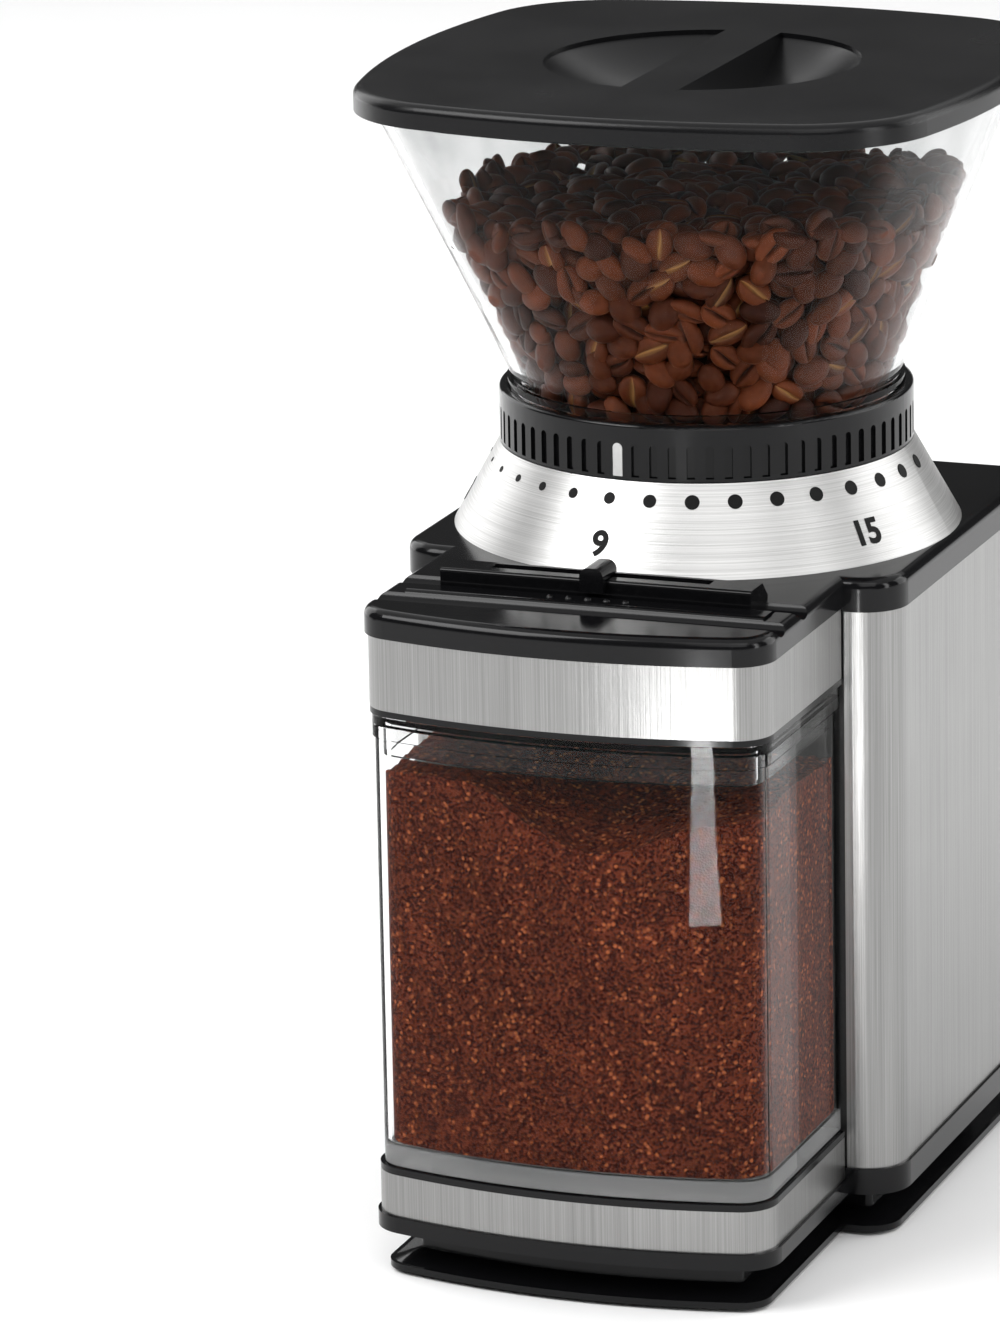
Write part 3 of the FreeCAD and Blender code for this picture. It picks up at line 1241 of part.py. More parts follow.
NODES = {
    "base": make_base,
    "base_plate": make_base_plate,
    "feet": make_feet,
    "base_screws": make_base_screws,
    "lower_band": lambda: make_band(LOWER_BAND_Z, LOWER_BAND_TOP_Z),
    "upper_band": lambda: make_band(UPPER_BAND_Z, UPPER_BAND_TOP_Z),
    "steel_wrap": make_steel_wrap,
    "tower": make_tower,
    "head": make_head,
    "deck": make_deck,
    "dial_skirt": make_dial_skirt,
    "burr_housing": make_burr_housing,
    "housing_screws": make_housing_screws,
    "chute": make_chute,
    "lower_burr": make_lower_burr,
    "upper_burr": make_upper_burr,
    "burr_carrier": make_burr_carrier,
    "adjusting_ring": make_adjusting_ring,
    "impeller": make_impeller,
    "spindle": make_spindle,
    "burr_nut": make_burr_nut,
    "spindle_bushes": make_spindle_bushes,
    "drive_gear": make_drive_gear,
    "pinion": make_pinion,
    "gear_plate": make_gear_plate,
    "plate_screws": make_plate_screws,
    "stator": make_stator,
    "windings": make_windings,
    "armature": make_armature,
    "commutator": make_commutator,
    "motor_shaft": make_motor_shaft,
    "cooling_fan": make_fan,
    "upper_bracket": make_upper_bracket,
    "lower_bracket": make_lower_bracket,
    "motor_bushes": make_motor_bushes,
    "motor_bolts": make_motor_bolts,
    "brush_holders": make_brush_holders,
    "brushes": make_brushes,
    "start_bar": make_start_bar,
    "slider_track": make_slider_track,
    "cup_slider": make_cup_slider,
    "control_board": make_control_board,
    "board_screws": make_board_screws,
    "slide_sensor": make_slide_sensor,
    "start_switch": make_start_switch,
    "hopper": make_hopper,
    "hopper_floor": make_hopper_floor,
    "collar": make_collar,
    "pointer": make_pointer,
    "hopper_lid": make_lid,
    "chamber": make_chamber,
    "chamber_lid": make_chamber_lid,
    "cord_gland": make_cord_gland,
}


def export(name, made):
    """Writes one node, one solid or several, in the shifted frame."""
    shape = Part.Compound(made) if isinstance(made, list) else made
    solids = shape.Solids
    shape = Part.Compound(solids) if len(solids) > 1 else solids[0]
    shape.translate(Vector(0, AXIS_Y, 0))
    if not shape.isValid():
        print("not valid:", name)
    print(f"{name}: {len(solids)} solids, {shape.Volume:.0f} mm3")
    shape.exportStep(f"parts/{name}.step")


def main():
    """Builds and writes every node."""
    os.makedirs("parts", exist_ok=True)
    for name, make in NODES.items():
        export(name, make())


if __name__ == "__main__":
    main()
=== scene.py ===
"""Dresses the burr grinder: finishes, dial marks, beans in the hopper, ground coffee in the chamber."""

import math
import random

import bmesh
import bpy
from mathutils import Matrix, Vector, noise


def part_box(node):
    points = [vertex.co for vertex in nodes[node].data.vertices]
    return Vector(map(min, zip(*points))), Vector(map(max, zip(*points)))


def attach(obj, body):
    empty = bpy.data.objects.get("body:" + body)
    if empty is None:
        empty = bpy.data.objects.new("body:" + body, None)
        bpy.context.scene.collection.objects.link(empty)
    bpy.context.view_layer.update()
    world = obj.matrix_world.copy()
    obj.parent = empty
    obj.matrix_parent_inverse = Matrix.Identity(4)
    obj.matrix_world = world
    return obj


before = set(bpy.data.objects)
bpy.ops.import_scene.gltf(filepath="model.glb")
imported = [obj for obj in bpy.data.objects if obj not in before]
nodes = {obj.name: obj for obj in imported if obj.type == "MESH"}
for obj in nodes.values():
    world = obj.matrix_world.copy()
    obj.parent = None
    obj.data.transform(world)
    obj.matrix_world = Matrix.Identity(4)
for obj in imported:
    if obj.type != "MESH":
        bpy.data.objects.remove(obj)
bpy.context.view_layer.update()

MM = 0.001

# Places read from the frame
COLLAR_LOW, COLLAR_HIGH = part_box("collar")
SKIRT_LOW, SKIRT_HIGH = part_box("dial_skirt")
CHAMBER_LOW, CHAMBER_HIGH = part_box("chamber")
LID_TOP_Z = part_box("hopper_lid")[1][2]
AXIS_Y = (COLLAR_LOW[1] + COLLAR_HIGH[1]) / 2

# Camera, solved from the photograph
CAMERA_PLACE = Vector((0.57435, -1.60932, 0.60331))
CAMERA_AIM = Vector((-0.05412, 0.01765, 0.12015))
CAMERA_ROLL_DEG = -1.123
CAMERA_LENS = 200.68

# Dial marks
DOT_COUNT = 18
DOT_PITCH_DEG = 11.15
DOT_HEIGHT = 178.4 * MM
DOT_LEAST_R = 0.6 * MM
DOT_MOST_R = 1.8 * MM
DOT_FULL_STEP = 10
DOT_GROWTH = 0.17 * MM
DOT_SEGMENTS = 28
DOT_TAPER = 0.96
DIAL_TURN_DEG = -1.3
NUMBER_STEP = 6
NUMBER_FIRST = 3
NUMBER_HEIGHT = 168.5 * MM
NUMBER_SIZE = 8.4 * MM
NUMBER_BOLD = 0.032
MARK_THICK = 0.12 * MM

# Hopper's inside
HOPPER_WALL = 2.2 * MM
LID_EDGE = 5.8 * MM
FOOT_R = 46.3 * MM - HOPPER_WALL
SQUARE_HALF = 71.0 * MM - HOPPER_WALL
SQUARE_SIDE_R = 190.0 * MM - HOPPER_WALL
SQUARE_CORNER_R = 30.0 * MM - HOPPER_WALL
WALL_FOOT_Z = COLLAR_HIGH[2] + 2.1 * MM

# Beans
BEAN_LENGTH = 4.8 * MM
BEAN_WIDTH = 3.5 * MM
BEAN_HEIGHT = 2.9 * MM
BEAN_SEGMENTS = 12
BEAN_TOP_SIDES = 8
BEAN_FLAT_STEPS = (-0.85, -0.5, -0.22, -0.1, 0.0, 0.1, 0.22, 0.5, 0.85)
BEAN_CREASE = 0.12
BEAN_CREASE_DEPTH = 0.4
BEAN_CREASE_BEND = 0.12
BEAN_FLATNESS = 0.5
BEAN_SPACING = 7.2 * MM
BEAN_ROW = 5.4 * MM
BEAN_LAYERS = (3.2 * MM, 7.6 * MM)
BEAN_LEVEL = 243.0 * MM
BEAN_UNEVEN = 5.0 * MM
BEAN_UNEVEN_SCALE = 28
BEAN_SEED = 11
BEAN_START_DROP = 1.0 * MM
BEAN_OVERFILL = 6 * MM
BEAN_TURN_JITTER = 0.28
BEAN_RISE_JITTER_MM = 1.6
BEAN_DEPTH_JITTER_MM = 0.7
BEAN_SINK = 1.5 * MM
BEAN_GRID_JITTER = (0.1, 0.9)
BEAN_TILT = 0.3
BEAN_ROCK = 0.16
BEAN_SIZES = (0.88, 1.08)
BEAN_CHAFF_SHARE = 0.3
WALL_LEAN = -0.36

# Dark heap behind the outer beans
HEAP_TURNS = 64
HEAP_LEVELS = 12
HEAP_INSET = 1.5 * MM
HEAP_FOOT_DROP = 3 * MM
HEAP_HEAD_DROP = 6 * MM

# Ground coffee
GROUNDS_INSET = 2.75 * MM
GROUNDS_CORNER_R = 6.25 * MM
GROUNDS_LEVEL = 119.5 * MM
GROUNDS_FLOOR = 5.3 * MM
GROUNDS_HEAP = 5.0 * MM
GROUNDS_HEAP_X = -0.025
GROUNDS_HEAP_SPREAD = 0.025
GROUNDS_DIP = 11.0 * MM
GROUNDS_DIP_X = 0.008
GROUNDS_DIP_INWARD = 0.006
GROUNDS_DIP_SPREAD = (0.022, 0.02)
GROUNDS_WAVES = 2.2 * MM
GROUNDS_CRUMBS = 0.7 * MM
GROUNDS_SLACK = 0.5 * MM
GROUNDS_ACROSS = 150
GROUNDS_DEEP = 90
FRONT_ARC_R = 175.0 * MM

# Milky foot of the chamber: painted light standing in for light refracted through its thick floor
PAINTED_REFRACTION_FADE = 0.4 * MM
PAINTED_REFRACTION_CLEARNESS = 0.86

# Studio
FLOOR_REACH = 9.0
WORLD_STRENGTH = 0.06

# Grain of the finishes: noise scales along X, Y and Z
EVEN = (900, 900, 900)
SATIN = (2600, 2600, 2600)
GLOSS = (700, 700, 700)
UPRIGHT = (3500, 3500, 12)
ROUND = (14, 14, 5200)
WOUND = (200, 200, 4000)
STACKED = (20, 20, 3000)
SMUDGES = (25, 25, 25)


# Materials

def new_material(name, slot_nodes=()):
    """A material with one Principled shader, given to the named CAD nodes."""
    material = bpy.data.materials.new(name)
    material.use_nodes = True
    for node_name in slot_nodes:
        mesh = nodes[node_name].data
        mesh.materials.clear()
        mesh.materials.append(material)
    return material, material.node_tree.nodes["Principled BSDF"]


def add(material, kind, **values):
    """A new shader node, with its input sockets or attributes set."""
    made = material.node_tree.nodes.new("ShaderNode" + kind)
    for key, value in values.items():
        if key in made.inputs:
            made.inputs[key].default_value = value
        else:
            setattr(made, key, value)
    return made


def link(material, source, target):
    """Joins two sockets."""
    material.node_tree.links.new(source, target)


def stretched_noise(material, grain, detail=4.0):
    """Noise over the object's own coordinates, stretched by a scale along each axis."""
    place = add(material, "TexCoord")
    mapping = add(material, "Mapping", Scale=grain)
    texture = add(material, "TexNoise", Scale=1.0, Detail=detail, Roughness=0.6)
    link(material, place.outputs["Object"], mapping.inputs["Vector"])
    link(material, mapping.outputs["Vector"], texture.inputs["Vector"])
    return texture.outputs["Fac"]


def ramp(material, source, low, high):
    """A value socket remapped softly to a range."""
    made = add(material, "MapRange", interpolation_type="SMOOTHERSTEP")
    made.inputs["From Min"].default_value = 0.15
    made.inputs["From Max"].default_value = 0.85
    made.inputs["To Min"].default_value = low
    made.inputs["To Max"].default_value = high
    link(material, source, made.inputs["Value"])
    return made.outputs["Result"]


def tint(material, source, low, high):
    """A colour ramp between two colours."""
    made = add(material, "ValToRGB")
    made.color_ramp.elements[0].position = 0.3
    made.color_ramp.elements[1].position = 0.7
    made.color_ramp.elements[0].color = (*low, 1)
    made.color_ramp.elements[1].color = (*high, 1)
    link(material, source, made.inputs["Fac"])
    return made.outputs["Color"]


def surface(name, slot_nodes, colour, spread, rough, grain, bump, metallic=0.0, **sockets):
    """A finish with fine grain in its colour and relief, and broad patches in its roughness."""
    material, shader = new_material(name, slot_nodes)
    fine = stretched_noise(material, grain)
    broad = stretched_noise(material, SMUDGES, 2.0)
    low = tuple(c * (1 - spread) for c in colour)
    high = tuple(min(1.0, c * (1 + spread)) for c in colour)
    link(material, tint(material, fine, low, high), shader.inputs["Base Color"])
    link(material, ramp(material, broad, *rough), shader.inputs["Roughness"])
    relief = add(material, "Bump", Strength=bump, Distance=0.0002)
    link(material, fine, relief.inputs["Height"])
    link(material, relief.outputs["Normal"], shader.inputs["Normal"])
    shader.inputs["Metallic"].default_value = metallic
    for key, value in sockets.items():
        shader.inputs[key.replace("_", " ")].default_value = value
    return material


surface(
    "lid_satin", ["hopper_lid"],
    (0.005, 0.005, 0.0055), 0.25, (0.2, 0.28), SATIN, 0.12, Specular_IOR_Level=0.22,
)
surface(
    "gloss_black", ["deck", "collar", "base", "head", "start_bar", "slider_track", "cup_slider"],
    (0.004, 0.004, 0.0045), 0.2, (0.1, 0.18), GLOSS, 0.03, Specular_IOR_Level=0.22,
)
surface(
    "inner_black",
    ["tower", "base_plate", "burr_housing", "chute", "burr_carrier", "adjusting_ring", "impeller",
     "hopper_floor"],
    (0.012, 0.012, 0.012), 0.25, (0.4, 0.55), EVEN, 0.15,
)
surface("soft_rubber", ["feet", "cord_gland"], (0.015, 0.015, 0.015), 0.3, (0.7, 0.85), EVEN, 0.25)
surface(
    "steel_upright", ["upper_band", "lower_band", "steel_wrap"],
    (0.28, 0.279, 0.275), 0.2, (0.28, 0.33), UPRIGHT, 0.22, 1.0,
)
surface("steel_round", ["dial_skirt"], (0.52, 0.518, 0.512), 0.2, (0.36, 0.42), ROUND, 0.22, 1.0)
surface(
    "machined_steel",
    ["lower_burr", "upper_burr", "spindle", "burr_nut", "pinion", "motor_shaft", "motor_bolts",
     "base_screws", "housing_screws", "plate_screws", "board_screws"],
    (0.5, 0.5, 0.5), 0.12, (0.25, 0.4), ROUND, 0.12, 1.0,
)
surface(
    "cast_aluminium", ["gear_plate", "upper_bracket", "lower_bracket"],
    (0.55, 0.55, 0.56), 0.1, (0.4, 0.55), EVEN, 0.3, 1.0,
)
surface(
    "bronze", ["spindle_bushes", "motor_bushes", "brush_holders"],
    (0.5, 0.34, 0.15), 0.15, (0.3, 0.45), EVEN, 0.2, 1.0,
)
surface("copper", ["windings", "commutator"], (0.55, 0.22, 0.09), 0.3, (0.25, 0.4), WOUND, 0.4, 1.0)
surface("laminations", ["stator", "armature"], (0.16, 0.16, 0.17), 0.3, (0.4, 0.55), STACKED, 0.4, 1.0)
surface("nylon", ["drive_gear"], (0.72, 0.7, 0.64), 0.05, (0.35, 0.5), EVEN, 0.1)
surface("carbon", ["brushes", "cooling_fan"], (0.02, 0.02, 0.02), 0.3, (0.5, 0.65), EVEN, 0.2)
surface("circuit_board", ["control_board"], (0.02, 0.12, 0.04), 0.3, (0.3, 0.4), EVEN, 0.1)
surface(
    "component_body", ["slide_sensor", "start_switch"],
    (0.06, 0.06, 0.065), 0.2, (0.4, 0.5), EVEN, 0.1,
)
surface("pointer_white", ["pointer"], (0.62, 0.62, 0.61), 0.04, (0.25, 0.35), EVEN, 0.03)
mark_black = surface(
    "mark_black", [], (0.004, 0.004, 0.004), 0.3, (0.5, 0.6), EVEN, 0.05, Specular_IOR_Level=0.15,
)


def clear_plastic(name, slot_nodes, colour, ior, painted_refraction_below=None):
    """Clear moulded plastic with faint waviness, made milky and lighter in a thick floor as painted
    light for refraction.
    """
    material, shader = new_material(name, slot_nodes)
    waves = stretched_noise(material, (30, 30, 30), 2.0)
    link(material, ramp(material, waves, 0.0, 0.03), shader.inputs["Roughness"])
    link(material, tint(material, waves, colour, (1.0, 1.0, 1.0)), shader.inputs["Base Color"])
    shader.inputs["Transmission Weight"].default_value = 1.0
    shader.inputs["IOR"].default_value = ior
    if painted_refraction_below is None:
        return
    place = add(material, "TexCoord")
    split = add(material, "SeparateXYZ")
    link(material, place.outputs["Object"], split.inputs["Vector"])
    # Below the floor line the plastic turns partly milky: painted lightening standing in for light
    # refracted through the thick floor.
    clear = add(material, "MapRange")
    clear.inputs["From Min"].default_value = painted_refraction_below - PAINTED_REFRACTION_FADE
    clear.inputs["From Max"].default_value = painted_refraction_below
    clear.inputs["To Min"].default_value = PAINTED_REFRACTION_CLEARNESS
    clear.inputs["To Max"].default_value = 1.0
    link(material, split.outputs["Z"], clear.inputs["Value"])
    link(material, clear.outputs["Result"], shader.inputs["Transmission Weight"])


clear_plastic("clear_hopper", ["hopper"], (0.7, 0.71, 0.71), 1.12)
clear_plastic("clear_lid", ["chamber_lid"], (0.86, 0.87, 0.87), 1.2)
clear_plastic("clear_chamber", ["chamber"], (0.86, 0.87, 0.87), 1.12, CHAMBER_LOW[2] + GROUNDS_FLOOR)


def roasted_beans():
    """Roast brown, each bean of its own tone, with a crease painted near-black as shade, pale where
    chaff lies in it.
    """
    material, shader = new_material("roasted_beans")
    tone = add(material, "Attribute", attribute_name="tone")
    crease = add(material, "Attribute", attribute_name="crease")
    chaff = add(material, "Attribute", attribute_name="chaff")
    body = tint(material, tone.outputs["Fac"], (0.045, 0.0102, 0.004), (0.18, 0.043, 0.014))
    fine = stretched_noise(material, (500, 500, 500))
    mottled = add(material, "MixRGB", blend_type="MULTIPLY", Fac=0.6)
    link(material, body, mottled.inputs["Color1"])
    link(material, tint(material, fine, (0.55, 0.5, 0.45), (1.0, 1.0, 1.0)), mottled.inputs["Color2"])
    # Crease colour: near-black painted shade for beans without chaff, real pale chaff for the rest.
    line = tint(material, chaff.outputs["Fac"], (0.012, 0.004, 0.002), (0.48, 0.26, 0.09))
    creased = add(material, "MixRGB")
    link(material, line, creased.inputs["Color2"])
    link(material, crease.outputs["Fac"], creased.inputs["Fac"])
    link(material, mottled.outputs["Color"], creased.inputs["Color1"])
    link(material, creased.outputs["Color"], shader.inputs["Base Color"])
    link(material, ramp(material, fine, 0.32, 0.5), shader.inputs["Roughness"])
    shader.inputs["Specular IOR Level"].default_value = 0.14
    relief = add(material, "Bump", Strength=0.35, Distance=0.0003)
    link(material, fine, relief.inputs["Height"])
    link(material, relief.outputs["Normal"], shader.inputs["Normal"])
    return material


def ground_coffee():
    """Crushed grains: dark red-brown with scattered lighter flecks."""
    material, shader = new_material("ground_coffee")
    place = add(material, "TexCoord")
    grains = add(material, "TexVoronoi", Scale=1900.0)
    flecks = add(material, "TexVoronoi", Scale=1050.0)
    for texture in (grains, flecks):
        link(material, place.outputs["Object"], texture.inputs["Vector"])
    split = add(material, "SeparateColor")
    link(material, grains.outputs["Color"], split.inputs["Color"])
    body = tint(material, split.outputs["Red"], (0.034, 0.0056, 0.0034), (0.15, 0.029, 0.012))
    patchy = stretched_noise(material, (160, 160, 160))
    mottled = add(material, "MixRGB", blend_type="MULTIPLY", Fac=0.6)
    link(material, body, mottled.inputs["Color1"])
    link(material, tint(material, patchy, (0.5, 0.45, 0.45), (1.0, 1.0, 1.0)), mottled.inputs["Color2"])
    rare = add(material, "SeparateColor")
    link(material, flecks.outputs["Color"], rare.inputs["Color"])
    pick = add(material, "MapRange")
    pick.inputs["From Min"].default_value = 0.8
    pick.inputs["From Max"].default_value = 0.98
    link(material, rare.outputs["Green"], pick.inputs["Value"])
    near = add(material, "MapRange")
    near.inputs["From Min"].default_value = 0.7
    near.inputs["From Max"].default_value = 0.35
    link(material, flecks.outputs["Distance"], near.inputs["Value"])
    both = add(material, "Math", operation="MULTIPLY")
    link(material, pick.outputs["Result"], both.inputs[0])
    link(material, near.outputs["Result"], both.inputs[1])
    mixed = add(material, "MixRGB", Color2=(0.38, 0.105, 0.032, 1))
    link(material, both.outputs["Value"], mixed.inputs["Fac"])
    link(material, mottled.outputs["Color"], mixed.inputs["Color1"])
    link(material, mixed.outputs["Color"], shader.inputs["Base Color"])
    shader.inputs["Roughness"].default_value = 0.75
    shader.inputs["Specular IOR Level"].default_value = 0.04
    relief = add(material, "Bump", Strength=0.5, Distance=0.0005)
    link(material, grains.outputs["Distance"], relief.inputs["Height"])
    link(material, relief.outputs["Normal"], shader.inputs["Normal"])
    return material


# Mesh helpers

def mesh_object(name, verts, faces, material, body, smooth=True):
    """A mesh piece that rides on a body."""
    mesh = bpy.data.meshes.new(name)
    mesh.from_pydata(verts, [], faces)
    mesh.materials.append(material)
    mesh.polygons.foreach_set("use_smooth", [smooth] * len(mesh.polygons))
    mesh.update()
    piece = bpy.data.objects.new(name, mesh)
    bpy.context.scene.collection.objects.link(piece)
    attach(piece, body)
    return piece


def around_axis(radius, degrees, z):
    """A point at an angle from straight ahead, positive towards +X."""
    angle = math.radians(degrees)
    return Vector((radius * math.sin(angle), AXIS_Y - radius * math.cos(angle), z))


# Dial marks

SKIRT_BOTTOM_R = (SKIRT_HIGH[0] - SKIRT_LOW[0]) / 2
SKIRT_TOP_R = (COLLAR_HIGH[0] - COLLAR_LOW[0]) / 2
SKIRT_SLOPE = (SKIRT_TOP_R - SKIRT_BOTTOM_R) / (SKIRT_HIGH[2] - SKIRT_LOW[2])
SKIRT_RISE = 1 / math.hypot(1, SKIRT_SLOPE)


def on_skirt(across, up, out, degrees, z):
    """A flat mark's point laid on the cone round a place on it."""
    height = z + up * SKIRT_RISE
    radius = SKIRT_BOTTOM_R + SKIRT_SLOPE * (height - SKIRT_LOW[2])
    return around_axis(radius + out, degrees + math.degrees(across / radius), height)


def lay_on_skirt(mesh, degrees, z):
    """Bends a flat mark's mesh onto the cone."""
    for vertex in mesh.vertices:
        vertex.co = on_skirt(*vertex.co, degrees, z)


def dial_dots():
    """The row of dots, growing from fine to coarse."""
    shape = bmesh.new()
    for step in range(DOT_COUNT):
        radius = DOT_MOST_R - DOT_GROWTH * max(0, DOT_FULL_STEP - step)
        radius = max(DOT_LEAST_R, radius)
        degrees = DIAL_TURN_DEG + (step - (DOT_COUNT - 1) / 2) * DOT_PITCH_DEG
        dot = bmesh.ops.create_cone(
            shape, cap_ends=True, segments=DOT_SEGMENTS, radius1=radius, radius2=radius * DOT_TAPER,
            depth=2 * MARK_THICK,
        )
        for vertex in dot["verts"]:
            vertex.co = on_skirt(*vertex.co, degrees, DOT_HEIGHT)
    mesh = bpy.data.meshes.new("dial_dots")
    shape.to_mesh(mesh)
    shape.free()
    return mesh


def dial_number(text, degrees):
    """A plain number printed on the cone."""
    curve = bpy.data.curves.new("number", "FONT")
    curve.body = text
    curve.size = NUMBER_SIZE
    curve.align_x = "CENTER"
    curve.align_y = "CENTER"
    curve.extrude = MARK_THICK
    curve.offset = NUMBER_BOLD * NUMBER_SIZE
    flat = bpy.data.objects.new("number", curve)
    mesh = bpy.data.meshes.new_from_object(flat)
    mesh.name = f"dial_number_{text}"
    bpy.data.objects.remove(flat)
    lay_on_skirt(mesh, degrees, NUMBER_HEIGHT)
    return mesh


def place_marks():
    """Adds the dots and the numbers."""
    meshes = [dial_dots()]
    for step in range(NUMBER_FIRST, DOT_COUNT + 1, NUMBER_STEP):
        degrees = DIAL_TURN_DEG + (step - (DOT_COUNT + 1) / 2) * DOT_PITCH_DEG
        meshes.append(dial_number(str(step), degrees))
    for mesh in meshes:
        mesh.materials.clear()
        mesh.materials.append(mark_black)
        piece = bpy.data.objects.new(mesh.name, mesh)
        bpy.context.scene.collection.objects.link(piece)
        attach(piece, "housing")


# Beans

def square_radius(angle):
    """The bowed square's inner radius in a direction."""
    drop = SQUARE_SIDE_R - SQUARE_HALF
    span = SQUARE_SIDE_R - SQUARE_CORNER_R
    centre = (-drop + math.sqrt(2 * span ** 2 - drop ** 2)) / 2
    folded = abs((angle + math.pi / 4) % (math.pi / 2) - math.pi / 4)
    along, across = math.cos(folded), math.sin(folded)
    side = -drop * along + math.sqrt(SQUARE_SIDE_R ** 2 - (drop * across) ** 2)
    if side * across <= SQUARE_SIDE_R * centre / span:
        return side
    reach = centre * (along + across)
    return reach + math.sqrt(SQUARE_CORNER_R ** 2 - 2 * centre ** 2 + reach ** 2)


def hopper_radius(angle, z):
    """The hopper's inner radius in a direction at a height."""
    share = max(0.0, (z - WALL_FOOT_Z) / (LID_TOP_Z - LID_EDGE - WALL_FOOT_Z))
    return FOOT_R + share * (square_radius(angle) - FOOT_R)


def bean_level(x, y):
    """The height of the beans' uneven top."""
    place = Vector((x * BEAN_UNEVEN_SCALE, y * BEAN_UNEVEN_SCALE, 1.7))
    return BEAN_LEVEL + BEAN_UNEVEN * noise.noise(place)


def bean_section():
    """Points round a bean's middle, as shares of its width and height: round above, flat below."""
    above = [math.pi * j / BEAN_TOP_SIDES for j in range(BEAN_TOP_SIDES + 1)]
    section = [(math.cos(angle), math.sin(angle), 0.0) for angle in above]
    for across in BEAN_FLAT_STEPS:
        crease = math.exp(-((across / BEAN_CREASE) ** 2))
        up = -BEAN_FLATNESS * math.sqrt(1 - across ** 2) + BEAN_CREASE_DEPTH * crease
        section.append((across, up, crease))
    return section


def bean_shape():
    """One bean's points, crease weights and faces: round above, flat and creased below."""
    section = bean_section()
    sides = len(section)
    points, creases = [Vector((BEAN_LENGTH, 0, 0))], [0.0]
    for i in range(1, BEAN_SEGMENTS):
        turn = math.pi * i / BEAN_SEGMENTS
        size = math.sin(turn)
        for across, up, crease in section:
            bend = BEAN_CREASE_BEND * math.sin(2 * turn) * crease
            points.append(Vector((
                BEAN_LENGTH * math.cos(turn),
                BEAN_WIDTH * size * (across + bend),
                BEAN_HEIGHT * size * up,
            )))
            creases.append(crease * size ** 0.5)
    points.append(Vector((-BEAN_LENGTH, 0, 0)))
    creases.append(0.0)
    last = len(points) - 1
    faces = []
    for j in range(sides):
        k = (j + 1) % sides
        faces.append((0, 1 + j, 1 + k))
        for i in range(BEAN_SEGMENTS - 2):
            a, b = 1 + i * sides, 1 + (i + 1) * sides
            faces.append((a + j, b + j, b + k, a + k))
        a = 1 + (BEAN_SEGMENTS - 2) * sides
        faces.append((a + j, last, a + k))
    return points, creases, faces


def wall_beans(rng):
    """Places and outward directions of the beans that lie against the hopper's wall."""
    for depth in BEAN_LAYERS:
        z = WALL_FOOT_Z - BEAN_START_DROP
        while z < BEAN_LEVEL + BEAN_OVERFILL:
            count = int(2 * math.pi * (hopper_radius(0, z) - depth) / BEAN_SPACING)
            start = rng.random()
            for i in range(count):
                shift = rng.uniform(-BEAN_TURN_JITTER, BEAN_TURN_JITTER)
                angle = 2 * math.pi * (i + start + shift) / count
                height = z + rng.uniform(-BEAN_RISE_JITTER_MM, BEAN_RISE_JITTER_MM) * MM
                radius = hopper_radius(angle, height) - depth - rng.uniform(0, BEAN_DEPTH_JITTER_MM) * MM
                x, y = radius * math.cos(angle), radius * math.sin(angle)
                if height < bean_level(x, y):
                    yield Vector((x, y, height)), Vector((math.cos(angle), math.sin(angle), WALL_LEAN))
            z += BEAN_ROW


def top_beans(rng):
    """Places and directions of the beans on top of the heap."""
    steps = int(2 * SQUARE_HALF / BEAN_SPACING)
    for i in range(steps):
        for j in range(steps):
            x = -SQUARE_HALF + (i + rng.uniform(*BEAN_GRID_JITTER)) * BEAN_SPACING
            y = -SQUARE_HALF + (j + rng.uniform(*BEAN_GRID_JITTER)) * BEAN_SPACING
            level = bean_level(x, y) - BEAN_SINK
            if math.hypot(x, y) < hopper_radius(math.atan2(y, x), level) - BEAN_LAYERS[0]:
                yield Vector((x, y, level)), Vector((0, 0, 1))


def bean_turn(outward, rng):
    """A random turn that lies a bean roughly flat against a direction, crease out or in."""
    facing = outward.normalized() * (1 if rng.random() < 0.5 else -1)
    base = facing.to_track_quat("Z", "Y").to_matrix()
    spin = Matrix.Rotation(rng.uniform(0, 2 * math.pi), 3, "Z")
    tilt = Matrix.Rotation(rng.gauss(0, BEAN_TILT), 3, "X")
    tilt = tilt @ Matrix.Rotation(rng.gauss(0, BEAN_ROCK), 3, "Y")
    return base @ spin @ tilt


def fill_hopper():
    """The beans, and the dark heap behind the outer ones."""
    rng = random.Random(BEAN_SEED)
    points, creases, faces = bean_shape()
    verts, all_faces, tones, crease_values, chaffs = [], [], [], [], []
    for place, outward in [*wall_beans(rng), *top_beans(rng)]:
        turn = bean_turn(outward, rng) * rng.uniform(*BEAN_SIZES)
        first = len(verts)
        centre = place + Vector((0, AXIS_Y, 0))
        verts += [turn @ p + centre for p in points]
        all_faces += [tuple(first + i for i in face) for face in faces]
        tones += [0.3 + 0.4 * rng.random()] * len(points)
        crease_values += creases
        chaffs += [0.8 if rng.random() < BEAN_CHAFF_SHARE else 0.2] * len(points)
    material = roasted_beans()
    piece = mesh_object("beans", verts, all_faces, material, "hopper")
    for name, values in (("tone", tones), ("crease", crease_values), ("chaff", chaffs)):
        attribute = piece.data.attributes.new(name, "FLOAT", "POINT")
        attribute.data.foreach_set("value", values)
    mesh_object("bean_heap", *heap_core(), material, "hopper")


